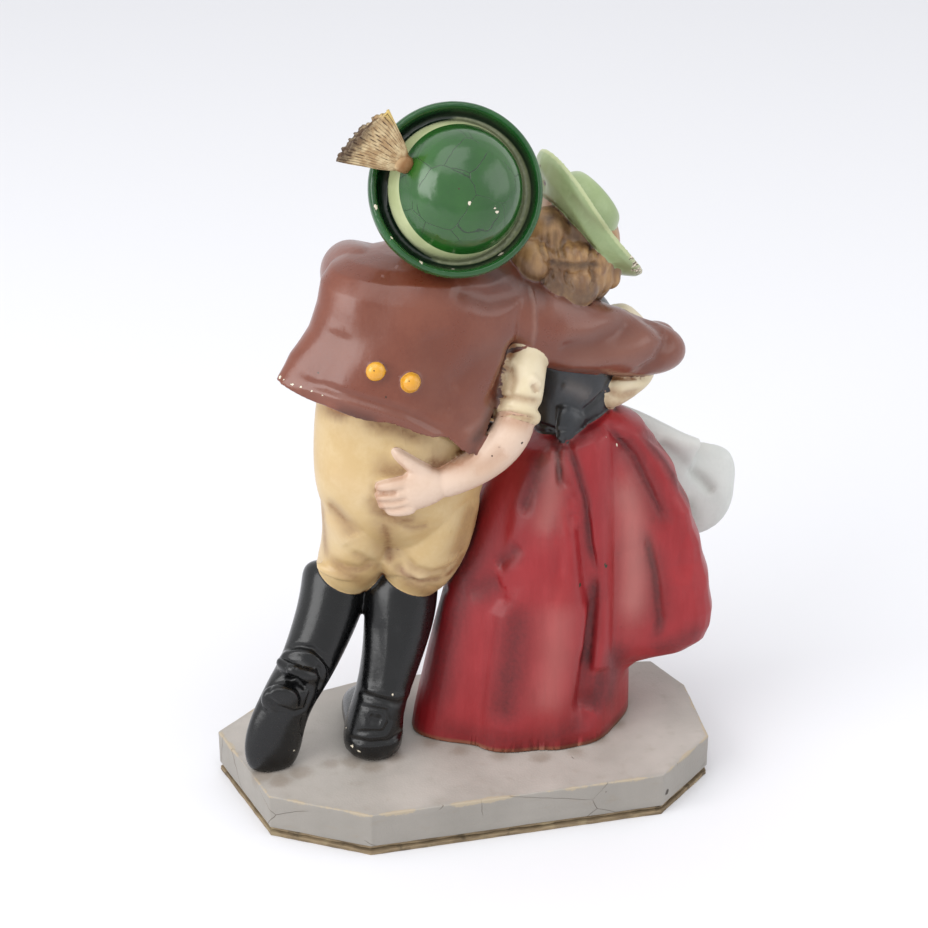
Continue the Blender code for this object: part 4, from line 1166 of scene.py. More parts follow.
def tuft_place(degrees, share):
    """A point of the brush: its angle round the fan, and its share of the length."""
    spread = max(0.0, min(share, 1.0)) ** 0.8
    wide = TUFT_ROOT + (TUFT_WIDE - TUFT_ROOT) * spread
    thick = TUFT_ROOT + (TUFT_THICK - TUFT_ROOT) * spread
    turn = math.radians(degrees)
    edge, flat = math.cos(turn), math.sin(turn)
    which, back = bristle_groove(edge, flat, share)
    depth = GROOVE_DEPTH * spread * (1 - back)
    length = 1 - 0.06 * edge ** 2 - TUFT_SLANT * edge - 0.09 * bristle_ends[which] * max(0.0, share) ** 6
    if share > 1:
        wide, thick, share = wide * 0.9, thick * 0.55, 0.985
    place = tuft_side * edge * (wide - depth * 0.4) + tuft_face * flat * max(0.4, thick - depth)
    return at(*TUFT_FOOT) + (place + tuft_lean * TUFT_LENGTH * share * length) * STEP


tuft_rows = (-TUFT_PLUG / TUFT_LENGTH, 0.0, 0.08, 0.16, 0.25, 0.35, 0.45, 0.55, 0.65, 0.75, 0.84, 0.92, 0.97,
             1.0, 1.01)
tuft = bell("hat_brush", None, tuft_rows, TUFT_SIDES, tuft_place)
grooves = []
for vert in tuft.data.vertices:
    row, side = divmod(vert.index, TUFT_SIDES)
    turn = math.radians(-180 + 360 * side / TUFT_SIDES)
    grooves.append(1 - bristle_groove(math.cos(turn), math.sin(turn), tuft_rows[row])[1])
keep_number(tuft, "groove", grooves)
tuft = join([tuft, ball("glue_bead", None, (-27.9, -9.6, 247.4), (3.6, 2.4, 3.0))])
tuft.data.shade_smooth()
print("brush:", len(tuft.data.polygons), "faces")

# %% [markdown]
# The plinth is a slab whose outline was cut by hand, so no two corners are alike. It is an outline pulled up,
# with worn edges from a narrow bevel. Bisecting it every few steps gives points all over it, and those are
# pressed in a little here and there, because such a slab was never quite flat.

# %% Plinth
HALF_LONG = (plinth_high.x - plinth_low.x) / 2
HALF_WIDE = (plinth_high.y - plinth_low.y) / 2
PLINTH_BEVEL = 0.7
PLINTH_GRID = 3
CORNERS = ((-1.0, 0.54), (-0.884, -0.467), (-0.528, -0.923), (0.668, -1.0), (0.951, -0.563),
           (1.0, 0.22), (0.931, 0.66), (0.308, 0.93), (-0.355, 1.0), (-0.82, 0.82))


def slab(name, low, high):
    """A slab with the plinth's outline between two heights, and worn edges."""
    deselect()
    bpy.ops.mesh.primitive_circle_add(vertices=len(CORNERS), radius=1, fill_type="NGON")
    made = bpy.context.object
    made.name = name
    for vert, (x, y) in zip(made.data.vertices, CORNERS):
        vert.co = (x * HALF_LONG, y * HALF_WIDE, low)
    bpy.ops.object.mode_set(mode="EDIT")
    bpy.ops.mesh.select_all(action="SELECT")
    bpy.ops.mesh.extrude_region_move(TRANSFORM_OT_translate={"value": (0, 0, high - low)})
    bpy.ops.mesh.select_all(action="SELECT")
    bpy.ops.mesh.normals_make_consistent(inside=False)
    bpy.ops.mesh.bevel(offset=PLINTH_BEVEL * STEP, segments=3, affect="EDGES")
    bpy.ops.object.mode_set(mode="OBJECT")
    return made


def bisect_rows(obj, axis, gap):
    """Cut an object by a row of parallel planes, so that it has points all over."""
    box = [vert.co[axis] for vert in obj.data.vertices]
    low, high = min(box), max(box)
    normal = [0, 0, 0]
    normal[axis] = 1
    bpy.context.view_layer.objects.active = obj
    bpy.ops.object.mode_set(mode="EDIT")
    for i in range(1, int((high - low) / gap)):
        bpy.ops.mesh.select_all(action="SELECT")
        place = [0, 0, 0]
        place[axis] = low + i * gap
        bpy.ops.mesh.bisect(plane_co=place, plane_no=normal)
    bpy.ops.object.mode_set(mode="OBJECT")


def ripple(x, y, z, seed=0.0):
    """A smooth number between -1 and 1 that wanders with the place, in steps."""
    slow = math.sin(0.11 * x + 1.7 * seed) * math.sin(0.13 * y + 2.1 + seed)
    slanted = 0.5 * math.sin(0.31 * x - 0.23 * y + seed)
    quick = 0.35 * math.sin(0.47 * y + 0.9 * z + 3 * seed)
    return (slow + slanted + quick) / 1.85


plinth = slab("painted_plinth", plinth_low.z, plinth_high.z)
for axis in range(3):
    bisect_rows(plinth, axis, PLINTH_GRID * STEP)
places, normals = points_of(plinth)
for vert, place, normal in zip(plinth.data.vertices, places, normals):
    x, y, z = place / STEP
    press = 0.22 * (1 + ripple(x, y, z)) / 2 + 0.1 * (1 + ripple(3 * x, 3 * y, z, 1.3)) / 2
    vert.co = Vector(place - normal * press * STEP)
print("plinth:", len(plinth.data.polygons), "faces")

# %% [markdown]
# Under it lies a board of two plies that have begun to part. The upper ply is flaking: its edge wanders in and
# out. Between them runs an open, dark joint.

# %% Board
board_low, board_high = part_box("base_board")
BOARD_SETBACK = 0.3
BOARD_LEVELS = (0.0, 0.04, 0.50, 0.56, 0.66, 0.72, 0.96, 1.0)
BOARD_INSETS = (0.35, 0.0, 0.1, 1.5, 1.5, 0.5, 0.6, 0.9)


def outline_places(gap):
    """Places along the plinth's outline, one every few steps, with the direction out of it."""
    found = []
    for (x0, y0), (x1, y1) in zip(CORNERS, CORNERS[1:] + CORNERS[:1]):
        start = Vector((x0 * HALF_LONG, y0 * HALF_WIDE))
        end = Vector((x1 * HALF_LONG, y1 * HALF_WIDE))
        count = max(2, round((end - start).length / gap))
        out = Vector((end.y - start.y, start.x - end.x)).normalized()
        found += [(start.lerp(end, i / count), out) for i in range(count)]
    return found


outline = outline_places(2.2 * STEP)


def board_place(degrees, level):
    """A point of the board's edge. The ply above the joint wanders more than the one below."""
    place, out = outline[round((degrees + 180) / 360 * len(outline)) % len(outline)]
    row = BOARD_LEVELS.index(level)
    x, y = place / STEP
    wander = 0.5 + 0.5 * ripple(2.3 * x, 2.7 * y, row * 1.3, 2.0 + row * 0.4)
    inset = BOARD_INSETS[row] + (1.1 * wander if row > 2 else 0.35 * wander)
    shift = out * (inset + BOARD_SETBACK) * STEP
    height = board_low.z + (board_high.z - board_low.z) * level
    return Vector((place.x - shift.x, place.y - shift.y, height))


board = bell("fibre_board", None, BOARD_LEVELS, len(outline), board_place)
print("board:", len(board.data.polygons), "faces")

# %% [markdown]
# ## Paint
# A material is a small sum of masks. To write such sums as plain arithmetic, a Field wraps one varying number,
# and adding, subtracting or multiplying Fields adds the math nodes. Colours are mixed with a mask.

# %% Fields
class Field:
    """A number that varies over a surface."""

    def __init__(self, tree, socket):
        self.tree, self.socket = tree, socket

    def math(self, operation, *values):
        node = self.tree.nodes.new("ShaderNodeMath")
        node.operation = operation
        for slot, value in zip(node.inputs, values):
            if isinstance(value, Field):
                self.tree.links.new(value.socket, slot)
            else:
                slot.default_value = value
        return Field(self.tree, node.outputs[0])

    def __add__(self, other):
        return self.math("ADD", self, other)

    def __sub__(self, other):
        return self.math("SUBTRACT", self, other)

    def __rsub__(self, other):
        return self.math("SUBTRACT", other, self)

    def __mul__(self, other):
        return self.math("MULTIPLY", self, other)

    __radd__ = __add__
    __rmul__ = __mul__

    def least(self, other):
        return self.math("MINIMUM", self, other)

    def most(self, other):
        return self.math("MAXIMUM", self, other)

    def past(self, start, end):
        """0 at start, 1 at end, smooth between them. Start may be the larger one."""
        node = self.tree.nodes.new("ShaderNodeMapRange")
        node.interpolation_type = "SMOOTHSTEP"
        self.tree.links.new(self.socket, node.inputs["Value"])
        node.inputs["From Min"].default_value = start
        node.inputs["From Max"].default_value = end
        return Field(self.tree, node.outputs["Result"])


def colour(code):
    """A colour as a painter's code, such as c8a070, in the linear values that a shader needs."""
    parts = [int(code[i:i + 2], 16) / 255 for i in (0, 2, 4)]
    return (*(part / 12.92 if part < 0.04 else ((part + 0.055) / 1.055) ** 2.4 for part in parts), 1)


print("red as a shader takes it:", colour("ff0000"))

# %% [markdown]
# A Surface is one material. It adds nodes to itself, and it knows the few masks that this figure needs: noise,
# cracks, round spots, straight lines, and distances from the axis of a hat.

# %% Materials
VARNISH_ROUGHNESS, PAINT_SHEEN = 0.24, 0.42


class Surface:
    """One material: its nodes, and the shader they feed."""

    def __init__(self, name):
        self.material = bpy.data.materials.new(name)
        self.material.use_nodes = True
        self.tree = self.material.node_tree
        self.shader = self.tree.nodes["Principled BSDF"]
        self.place = self.add("TexCoord").outputs["Object"]

    def add(self, kind, settings=None, values=None):
        """Any node: its type, its settings, and the values or links of its sockets."""
        node = self.tree.nodes.new("ShaderNode" + kind)
        for key, value in (settings or {}).items():
            setattr(node, key, value)
        for key, value in (values or {}).items():
            self.feed(node.inputs[key], value)
        return node

    def feed(self, socket, value):
        if isinstance(value, Field):
            self.tree.links.new(value.socket, socket)
        elif isinstance(value, bpy.types.NodeSocket):
            self.tree.links.new(value, socket)
        else:
            socket.default_value = value

    def attribute(self, name):
        return Field(self.tree, self.add("Attribute", {"attribute_name": name}).outputs["Fac"])

    def vector(self, operation, *values):
        """A Vector Math node. Operations that measure give a Field, the others a vector."""
        node = self.add("VectorMath", {"operation": operation}, dict(enumerate(values)))
        if operation in ("DISTANCE", "LENGTH", "DOT_PRODUCT"):
            return Field(self.tree, node.outputs["Value"])
        return node.outputs["Vector"]

    def scaled(self, vector, factor):
        return self.add("VectorMath", {"operation": "SCALE"}, {0: vector, "Scale": factor}).outputs["Vector"]

    def steps(self, stretch=(1, 1, 1)):
        """The place on the object, counted in steps, and squeezed along some axes if wanted."""
        return self.vector("MULTIPLY", self.place, tuple(value / STEP for value in stretch))

    def noise(self, size, detail=3.0, stretch=(1, 1, 1)):
        node = self.add("TexNoise", None, {"Vector": self.steps(stretch), "Scale": 1 / size, "Detail": detail})
        return Field(self.tree, node.outputs["Fac"])

    def cracks(self, size, wander, stretch=(1, 1, 1)):
        """How far a place is from the nearest line of a net of cracks, in shares of its meshes."""
        spread = self.add("TexNoise", None, {"Vector": self.steps(stretch), "Scale": 2.2 / size, "Detail": 2.0})
        bent = self.vector("ADD", self.steps(stretch), self.scaled(spread.outputs["Color"], wander))
        node = self.add("TexVoronoi", {"feature": "DISTANCE_TO_EDGE"}, {"Vector": bent, "Scale": 1 / size})
        return Field(self.tree, node.outputs["Distance"])

    def mix(self, mask, low, high):
        """One colour where the mask is 0, the other where it is 1."""
        node = self.add("Mix", {"data_type": "RGBA"}, {0: mask, 6: low, 7: high})
        return node.outputs[2]

    def from_spot(self, place, size):
        """Steps outside the edge of a round spot."""
        return self.vector("DISTANCE", self.place, tuple(place)) * (1 / STEP) - size

    def from_spots(self, spots):
        """Steps outside the nearest of some spots."""
        nearest = None
        for place, size in spots:
            gap = self.from_spot(place, size)
            nearest = gap if nearest is None else nearest.least(gap)
        return nearest

    def from_line(self, start, end):
        """Steps from a straight line between two places."""
        way = end - start
        offset = self.vector("SUBTRACT", self.place, tuple(start))
        share = self.vector("DOT_PRODUCT", offset, tuple(way)) * (1 / way.length_squared)
        foot = self.scaled(tuple(way), share.most(0.0).least(1.0))
        return self.vector("DISTANCE", offset, foot) * (1 / STEP)

    def round_axis(self, centre, axis):
        """Height along an axis and distance from it, both in steps."""
        offset = self.vector("SUBTRACT", self.place, tuple(centre))
        height = self.vector("DOT_PRODUCT", offset, tuple(axis)) * (1 / STEP)
        aside = self.vector("CROSS_PRODUCT", offset, tuple(axis))
        return height, self.vector("LENGTH", aside) * (1 / STEP)

    def finish(self, base, roughness, relief=None, varnish=0.0):
        """Feed the shader. The relief is a height in steps."""
        self.feed(self.shader.inputs["Base Color"], base)
        self.feed(self.shader.inputs["Roughness"], roughness)
        self.feed(self.shader.inputs["Coat Weight"], varnish)
        self.shader.inputs["Coat Roughness"].default_value = VARNISH_ROUGHNESS
        self.shader.inputs["Specular IOR Level"].default_value = PAINT_SHEEN
        if relief is not None:
            bump = self.add("Bump", None, {"Height": relief, "Distance": STEP})
            self.feed(self.shader.inputs["Normal"], bump.outputs["Normal"])
        print(self.material.name, len(self.tree.nodes), "nodes")
        return self.material


# %% [markdown]
# The paint box holds each paint with a few facts: the body colour, a second colour that the brush left here and
# there, the colour of the wash and painted shade in its hollows, its roughness, how strongly the wash and
# painted shade take, how much of the second colour shows, and how much varnish lies on it.

# %% Paint box
PAINT_BOX = {
    COAT: ("6c3624", "804935", "24110c", 0.30, 0.80, 0.45, 0.35),
    CLOTH: ("bfa270", "cdb68c", "6c3d14", 0.38, 1.00, 0.60, 0.25),
    BOOT: ("030304", "090a0b", "020202", 0.26, 0.60, 0.60, 0.12),
    SKIRT: ("8a151b", "9c272c", "360a0d", 0.40, 0.95, 0.50, 0.12),
    BLOUSE: ("d2c3a0", "dfd3b8", "84542c", 0.42, 0.95, 0.60, 0.20),
    SKIN: ("caaf99", "d8c1af", "9a6540", 0.40, 0.85, 0.60, 0.20),
    BODICE: ("111316", "2a3038", "050505", 0.32, 0.70, 0.70, 0.35),
    APRON: ("c2c4c0", "d0d2ce", "77766c", 0.42, 0.60, 0.60, 0.20),
    HAIR: ("7a5738", "b08a5c", "2e190d", 0.38, 1.00, 1.00, 0.20),
    HIS_HAT: ("0f4418", "1d5a22", "04180a", 0.24, 0.70, 0.50, 0.35),
    HER_HAT: ("8ea070", "a8b78a", "5a542a", 0.36, 0.90, 0.60, 0.30),
    BUTTON: ("d2921c", "e8b744", "643a0a", 0.24, 0.80, 0.60, 0.60),
}
print("paints in the box:", len(PAINT_BOX))

# %% [markdown]
# Chips sit at known places. We look each one up on the casting through the camera again, now that the surface
# is final. A spot is a column, a row and a radius in steps.

# %% Places of the chips
skin = tree_of(couple)


def spots(*rows):
    """Spots (column, row, radius) on the casting, where they can be seen."""
    found = [(seen_place(skin, column, row), size) for column, row, size in rows]
    return [(place, size) for place, size in found if place is not None]


white_chips = spots(
    (470, 203, 0.7), (497, 212, 0.9), (495, 208, 0.6), (376, 207, 1.1), (392, 238, 0.9), (421, 262, 1.0),
    (453, 269, 0.8), (501, 254, 1.2), (617, 445, 0.7), (393, 695, 0.6), (294, 750, 0.5), (280, 377, 0.9),
    (288, 768, 0.8), (284, 773, 0.8), (346, 728, 0.5), (352, 746, 0.9), (359, 751, 0.8), (606, 437, 0.5),
    (284, 380, 0.5), (292, 384, 0.6), (301, 387, 0.5), (311, 391, 0.5), (323, 395, 0.6))
worn_tip = spots((632, 258, 1.4), (636, 264, 2.2), (638, 270, 2.4), (640, 273, 2.2), (634, 270, 1.6))
dark_chips = spots(
    (459, 189, 0.5), (318, 373, 0.45), (386, 397, 0.4), (374, 371, 0.4), (409, 381, 0.3), (522, 443, 0.6),
    (492, 456, 0.4))
green_chips = spots((606, 566, 0.9), (580, 585, 0.9), (605, 564, 0.6))
print("spots:", len(white_chips + dark_chips + green_chips))

# %% [markdown]
# The figure's one material goes through the paint box: each paint covers the ones before it where its border
# number is above zero, wavering a little as a brush does.

# %% Painted plaster
plaster = Surface("painted_plaster")
fine = plaster.noise(1.6, 2.0)
broad = plaster.noise(16.0, 3.0)
streaks = plaster.noise(3.2, 4.0, (1, 1, 0.14))
hand = plaster.noise(2.2, 1.0) * 0.5 - 0.25
clouded = (broad * 0.8 + fine * 0.2).past(0.36, 0.68)
swept = (streaks * 0.5 + broad * 0.6).past(0.42, 0.70)

base, wash_and_shade_colour, gloss, wash_and_shade_strength, varnish = None, None, None, None, None
covers = {}
for paint, (body, second, wash_and_shade, rough, strength, brushed, shine) in PAINT_BOX.items():
    strokes = swept if paint in (SKIRT, HAIR) else clouded
    own = plaster.mix(strokes * brushed, colour(body), colour(second))
    if base is None:
        base, wash_and_shade_colour = own, colour(wash_and_shade)
        gloss, wash_and_shade_strength, varnish = rough, strength, shine
        continue
    cover = (plaster.attribute(paint) + hand).past(-0.12, 0.12)
    covers[paint] = cover
    base = plaster.mix(cover, base, own)
    wash_and_shade_colour = plaster.mix(cover, wash_and_shade_colour, colour(wash_and_shade))
    gloss = cover * rough + (1 - cover) * gloss
    wash_and_shade_strength = cover * strength + (1 - cover) * wash_and_shade_strength
    varnish = cover * shine + (1 - cover) * varnish

# %% [markdown]
# His hat has a light band round the foot of its crown, and beside it a groove painted near-black: painted shade
# inside the curl of the brim. Both are rings, so they need only the height and the distance from the hat's own
# axis. The crown is glazed, and its glaze has crazed.

# %% His hat
crown_height, crown_reach = plaster.round_axis(at(*HIS_HAT_PLACE), HIS_CROWN_AXIS)
brim_height, brim_reach = plaster.round_axis(at(*HIS_HAT_PLACE), HIS_HAT_AXIS)
his_hat = covers[HIS_HAT]
band = his_hat * crown_height.past(3.4, 4.0) * crown_height.past(10.9, 10.6)
band *= crown_reach.past(22.4, 22.9) * crown_reach.past(27.3, 26.8)
groove = his_hat * brim_height.past(2.2, 2.8) * brim_height.past(8.0, 6.0) * brim_reach.past(28.9, 28.3)
groove *= 1 - band
dome = his_hat * crown_height.past(10.8, 11.2) * crown_reach.past(26.0, 24.0)
# The groove inside the brim's curl is painted near-black: painted shade.
base = plaster.mix(groove * 0.85, base, colour("07180a"))
band_colour = plaster.mix(broad.past(0.35, 0.7), colour("a5ad80"), colour("bfc59a"))
base = plaster.mix(band, base, band_colour)
base = plaster.mix(dome * 0.8, base, plaster.mix(broad.past(0.2, 0.9), colour("164812"), colour("275c17")))
crazing = plaster.cracks(14.0, 2.0)
craze = dome * crazing.past(0.012, 0.004) * plaster.noise(14, 1.0).past(0.36, 0.5)
base = plaster.mix(craze * 0.7, base, colour("06200a"))
print("hats:", len(plaster.tree.nodes), "nodes so far")

# %% [markdown]
# Her hat's brim has an edge where the paint is rubbed pale. The brim is no ring, so its shape gives a number
# for each point: above zero close to the edge, seen from outside and from below.

# %% Her hat's edge
rim_numbers = []
for place in points_of(couple)[0]:
    offset = Vector(place / STEP) - at(*HER_HAT_PLACE) / STEP
    long, far = offset.dot(HER_BRIM_LONG), offset.dot(HER_BRIM_FAR)
    share = math.hypot(long / HER_BRIM_REACH[0], far / HER_BRIM_REACH[1])
    near = max(0.0, -far / max(0.01, math.hypot(long, far)))
    under_edge = HER_BRIM_RISE - HER_BRIM_DIP * near ** 2 - offset.dot(HER_HAT_AXIS)
    rim_numbers.append(max(-3.0, min(3.0, (share - 0.92) * 24, 1.9 - under_edge)))
keep_number(couple, "her_rim", rim_numbers)
her_hat = covers[HER_HAT]
her_edge = her_hat * (plaster.attribute("her_rim") + (fine - 0.5) * 0.8).past(-0.2, 0.3)
base = plaster.mix(her_edge * 0.7, base, colour("bcc294"))
print("points on the pale edge:", sum(number > 0 for number in rim_numbers))

# %% [markdown]
# The wash lies where the sky is hidden and the surface hollow, and along the strokes; shade falls there too, so
# it is painted shade as well as wash. On raised strokes the paint is rubbed thin and painted a little lighter,
# which is also a painted highlight on the ridges. A rim of bare tan runs along the foot of the skirt.

# %% Wash
hidden = plaster.attribute("hidden")
hollow = plaster.attribute("hollow")
# Darker in hollows, where the sky is hidden and along the strokes: wash and painted shade.
wash_and_shade = (hidden * 1.5 + hollow * 0.9 + (fine - 0.5) * 0.30 + (broad - 0.5) * 0.4).past(0.26, 1.05)
line_wash_and_shade = plaster.attribute("line_wash_and_shade")
wash_and_shade = wash_and_shade.most(line_wash_and_shade * (0.62 + 0.6 * (broad - 0.3) + 0.5 * (fine - 0.5)))
wash_and_shade = (wash_and_shade * wash_and_shade_strength).least(1.0)
base = plaster.mix(wash_and_shade, base, wash_and_shade_colour)
# Lighter along raised strokes: rubbed paint and a painted highlight on the ridges.
rubbed_and_highlit = plaster.attribute("line_light") * (1 - covers[BOOT])
base = plaster.mix(rubbed_and_highlit * 0.16, base, colour("e6d2c4"))
height = plaster.vector("DOT_PRODUCT", plaster.place, (0, 0, 1 / STEP)) - SOLES / STEP
base = plaster.mix(covers[SKIRT] * height.past(2.2, 0.6) * 0.7, base, colour("7d5238"))
print("wash:", len(plaster.tree.nodes), "nodes so far")

# %% [markdown]
# A narrow gold-brown line runs along the breeches just under the coat's hem, laid only where the hem hides the
# sky, so it is partly painted shade. The hem itself is worn to the plaster. Chips are round spots with a ragged
# edge.

# %% Wear and chips
coat_border = plaster.attribute(COAT)
# The gold-brown line under the hem falls only where the sky is hidden: partly painted shade.
under_hem = coat_border.past(-2.6, -1.2) * covers[CLOTH] * hidden.past(0.05, 0.25)
base = plaster.mix(under_hem * 0.6, base, colour("9c5c22"))
hem_wear = coat_border.past(1.9, 0.3) * coat_border.past(-0.1, 0.1) * plaster.attribute(CLOTH).past(-2.0, -1.7)
base = plaster.mix(hem_wear * plaster.noise(4.0, 3.0).past(0.52, 0.6) * 0.8, base, colour("cdb9a0"))

ragged = (plaster.noise(0.9, 2.0) - 0.5) * 2.2 + 0.25
chipped = (plaster.from_spots(white_chips) + ragged).past(0.12, -0.12)
tip = (plaster.from_spots(worn_tip) + ragged * 2.0).past(0.3, -0.3)
tip_cracks = plaster.cracks(1.6, 0.6).past(0.12, 0.04)
base = plaster.mix(tip, base, plaster.mix(tip_cracks, colour("d9cfb8"), colour("4a3320")))
base = plaster.mix(chipped, base, colour("dcd2bd"))
dotted = (plaster.from_spots(dark_chips) + ragged * 0.4).past(0.1, -0.1)
base = plaster.mix(dotted, base, colour("33210f"))
greened = (plaster.from_spots(green_chips) + ragged * 0.6).past(0.1, -0.1)
base = plaster.mix(greened, base, colour("16301c"))
print("chips:", len(plaster.tree.nodes), "nodes so far")

# %% [markdown]
# His hair has no form of its own round the ear, so it is a mask on the skin: everything behind a slanted plane
# through the head. The eyes, brows, mouths and cheeks are brushed on where the features were carved.

# %% His hair and both faces
behind = plaster.vector("SUBTRACT", plaster.place, tuple(at(-1, 20, 228)))
hair_way = Vector((-0.80, -0.05, 0.60)) / STEP
his_hair = plaster.vector("DOT_PRODUCT", behind, tuple(hair_way)) + (streaks - 0.5) * 4.0
his_hair = his_hair.past(-2.0, -1.2) * covers[SKIN] * height.past(206.0, 210.0)
base = plaster.mix(his_hair, base, plaster.mix(swept, colour("3d2615"), colour("6a4728")))
for middle, features in ((HIS_MIDDLE, HIS_FEATURES), (HER_MIDDLE, HER_FEATURES)):
    found = [outer_place(skin, middle, direction) for direction, _, _ in features]
    _, eye_far, eye_near, brow_far, brow_near, lips, _, cheek = found
    level = (eye_far - eye_near).normalized() * STEP
    for eye, brow in ((eye_far, brow_far), (eye_near, brow_near)):
        white = plaster.from_line(eye - level * 1.1, eye + level * 1.1)
        base = plaster.mix(white.past(1.2, 0.9), base, colour("7a4f38"))
        base = plaster.mix(white.past(0.9, 0.7), base, colour("e6ddd0"))
        base = plaster.mix(plaster.from_spot(eye, 0.75).past(0.12, -0.12), base, colour("3a2a20"))
        brow_line = plaster.from_line(brow - level * 1.87, brow + level * 1.87)
        base = plaster.mix(brow_line.past(0.7, 0.3) * 0.8, base, colour("5a3c26"))
    mouth = plaster.from_line(lips - level * 2.4, lips + level * 2.4)
    base = plaster.mix(mouth.past(1.1, 0.5) * 0.85, base, colour("a24a40"))
    base = plaster.mix(plaster.from_spot(cheek, 1.0).past(4.0, -1.0) * 0.35, base, colour("c9775f"))
print("faces:", len(plaster.tree.nodes), "nodes so far")

# %% [markdown]
# The wash and painted shade are duller than paint, and the dome is glossier. The relief is slight: brush
# streaks, crazing and chips.

# %% Gloss and relief
rough = gloss + wash_and_shade * 0.16 + (fine - 0.5) * 0.10 + (broad - 0.5) * 0.14
rough = rough * (1 - dome * 0.25) + chipped.most(tip) * 0.35
relief = (streaks - 0.5) * 0.10 + (fine - 0.5) * 0.05 - craze * 0.10 - chipped * 0.22 - tip * 0.15
couple.data.materials.clear()
couple.data.materials.append(plaster.finish(base, rough.least(0.9), relief, varnish + dome * 0.3))

# %% [markdown]
# The brush is straw-coloured at its foot, yellow along one side, and dark at the cut ends, with painted shade
# down between the bristles.

# %% Brush paint
from_foot = (points_of(tuft)[0] - np.array(at(*TUFT_FOOT))) / STEP
keep_number(tuft, "along", from_foot @ np.array(tuft_lean) / TUFT_LENGTH)
keep_number(tuft, "across", from_foot @ np.array(tuft_side) / TUFT_WIDE)
straw = Surface("straw_bristle")
along, across = straw.attribute("along"), straw.attribute("across")
speckle = straw.noise(1.2, 3.0)
base = straw.mix(straw.noise(3.0, 3.0).past(0.35, 0.7), colour("a3855f"), colour("cdb890"))
base = straw.mix(across.past(0.62, 0.9) * along.past(0.1, 0.3) * 0.8, base, colour("d6b968"))
ends = (along + (speckle - 0.5) * 0.25).past(0.78, 1.0)
base = straw.mix(ends * 0.8, base, colour("36251a"))
# Darker down between the bristles: painted shade in the grooves.
between = straw.attribute("groove").past(0.25, 0.75) * along.past(0.05, 0.3) * (0.4 + speckle)
base = straw.mix(between.least(1.0) * 0.9, base, colour("3c2415"))
base = straw.mix(along.past(0.16, 0.04) * 0.9, base, colour("7a5228"))
tuft.data.materials.clear()
tuft.data.materials.append(straw.finish(base, 0.5 + speckle * 0.2, (speckle - 0.5) * 0.2))

# %% [markdown]
# The plinth is a warm grey, rubbed to tan along its edges, with hairline cracks in its sides and brown patches
# where boots and skirt stand on it.

# %% Edges and sides of the plinth
def from_outline(place):
    """Steps from a place to the plinth's outline, measured level."""
    gaps = []
    for (x0, y0), (x1, y1) in zip(CORNERS, CORNERS[1:] + CORNERS[:1]):
        start = np.array((x0 * HALF_LONG, y0 * HALF_WIDE))
        way = np.array((x1 * HALF_LONG, y1 * HALF_WIDE)) - start
        share = min(1, max(0, (place[:2] - start) @ way / (way @ way)))
        gaps.append(float(np.linalg.norm(place[:2] - start - way * share)))
    return min(gaps) / STEP


places, _ = points_of(plinth)
top_gap = (plinth_high.z - places[:, 2]) / STEP
side_gap = np.array([from_outline(place) for place in places])
keep_number(plinth, "edge", np.clip(np.hypot(top_gap, side_gap), 0, 12))
keep_number(plinth, "side", np.clip(1 - side_gap, 0, 1))
print("points of the plinth:", len(places))

# %% Plinth paint
CUT_IN_TOP = ((572, 757), (606, 792))
PIT_IN_SIDE = (667, 792)
PATCHES_AT_FEET = ((262, 776, 5), (280, 780, 5), (300, 772, 5), (330, 764, 4), (352, 762, 5), (372, 766, 5),
                (394, 757, 4), (430, 742, 4), (460, 750, 4), (500, 756, 4), (540, 757, 4), (575, 752, 4),
                (598, 740, 4), (618, 724, 3))

grey = Surface("plinth_grey")
cloudy = grey.noise(24.0, 4.0)
speckle = grey.noise(1.0, 3.0)
edge, side = grey.attribute("edge"), grey.attribute("side")
base = grey.mix(cloudy.past(0.3, 0.75), colour("a49e97"), colour("b4ada6"))
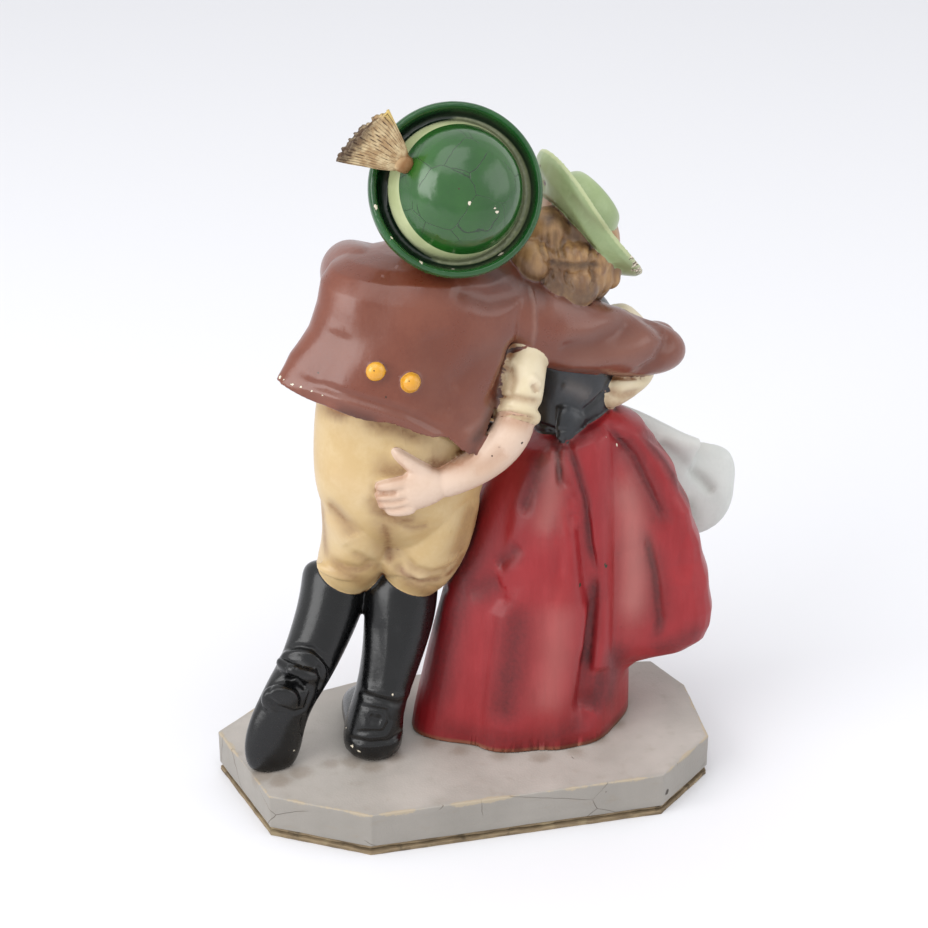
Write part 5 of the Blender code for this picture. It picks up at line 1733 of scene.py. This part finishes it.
# The upright sides are painted darker than the top: painted shade.
base = grey.mix(side * 0.8, base, colour("827e77"))
base = grey.mix(grey.noise(7.0, 4.0, (1, 1, 3)).past(0.55, 0.8) * 0.35, base, colour("8f8476"))
worn = (edge + (speckle - 0.5) * 1.6 + (grey.noise(9.0, 3.0) - 0.5) * 6.0).past(1.1, 0.2)
base = grey.mix(worn * 0.6, base, colour("b3a184"))
hairs = grey.cracks(34.0, 3.0, (1, 1, 1.8)).past(0.006, 0.002) * side * grey.noise(20.0, 1.0).past(0.45, 0.55)
under = tree_of(plinth)
top_line = grey.from_line(*(seen_place(under, *pixel) for pixel in CUT_IN_TOP))
cut_line = (top_line + (speckle - 0.5) * 0.3).past(0.35, 0.1)
base = grey.mix(hairs.most(cut_line * 0.6) * 0.8, base, colour("5a4c3c"))
# Brown patches round the places where boots and skirt stand on the top.
spots_at_feet = [(seen_place(under, column, row), size) for column, row, size in PATCHES_AT_FEET]
browned_at_feet = grey.from_spots(spots_at_feet) + (speckle - 0.5) * 2.5 + (grey.noise(5.0, 2.0) - 0.5) * 4
browned_at_feet = browned_at_feet.past(2.0, -3.0)
base = grey.mix(browned_at_feet * 0.35, base, colour("6f5a42"))
pit = (grey.from_spot(seen_place(under, *PIT_IN_SIDE), 1.2) + (speckle - 0.5)).past(0.3, -0.3)
base = grey.mix(pit, base, colour("3c342a"))
relief = (speckle - 0.5) * 0.08 + (grey.noise(4.0, 3.0) - 0.5) * 0.12 - (hairs + cut_line) * 0.25 - pit * 0.4
plinth.data.materials.clear()
plinth.data.materials.append(grey.finish(base, 0.46 + (cloudy - 0.5) * 0.2 + worn * 0.15, relief))
plinth.data.shade_smooth()

# %% [markdown]
# The board is brown fibre, lighter where it has flaked, and dark in the joint between its plies. The sweep
# under it all is plain matt white.

# %% Board and sweep
fibre = Surface("fibre_board")
grain = fibre.noise(3.0, 4.0, (0.3, 0.3, 1.6))
flakes = fibre.noise(9.0, 4.0)
base = fibre.mix(grain.past(0.35, 0.65), colour("6e5e47"), colour("8d7b60"))
base = fibre.mix(flakes.past(0.56, 0.68) * 0.5, base, colour("a39474"))
base = fibre.mix(flakes.past(0.42, 0.32) * 0.6, base, colour("2c2318"))
board.data.materials.clear()
board.data.materials.append(fibre.finish(base, 0.78 + (grain - 0.5) * 0.2, (grain - 0.5) * 0.3))

floor.data.materials.append(Surface("white_sweep").finish(colour("e3e3e6"), 0.85))

# %% [markdown]
# ## Hand over
# Each finished piece takes the place of its solid.

# %% Pieces
for piece, node in ((couple, "couple"), (tuft, "hat_tuft"), (plinth, "plinth"), (board, "base_board")):
    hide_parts(node)
    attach(piece, "root")
    print(piece.name, "replaces", node)
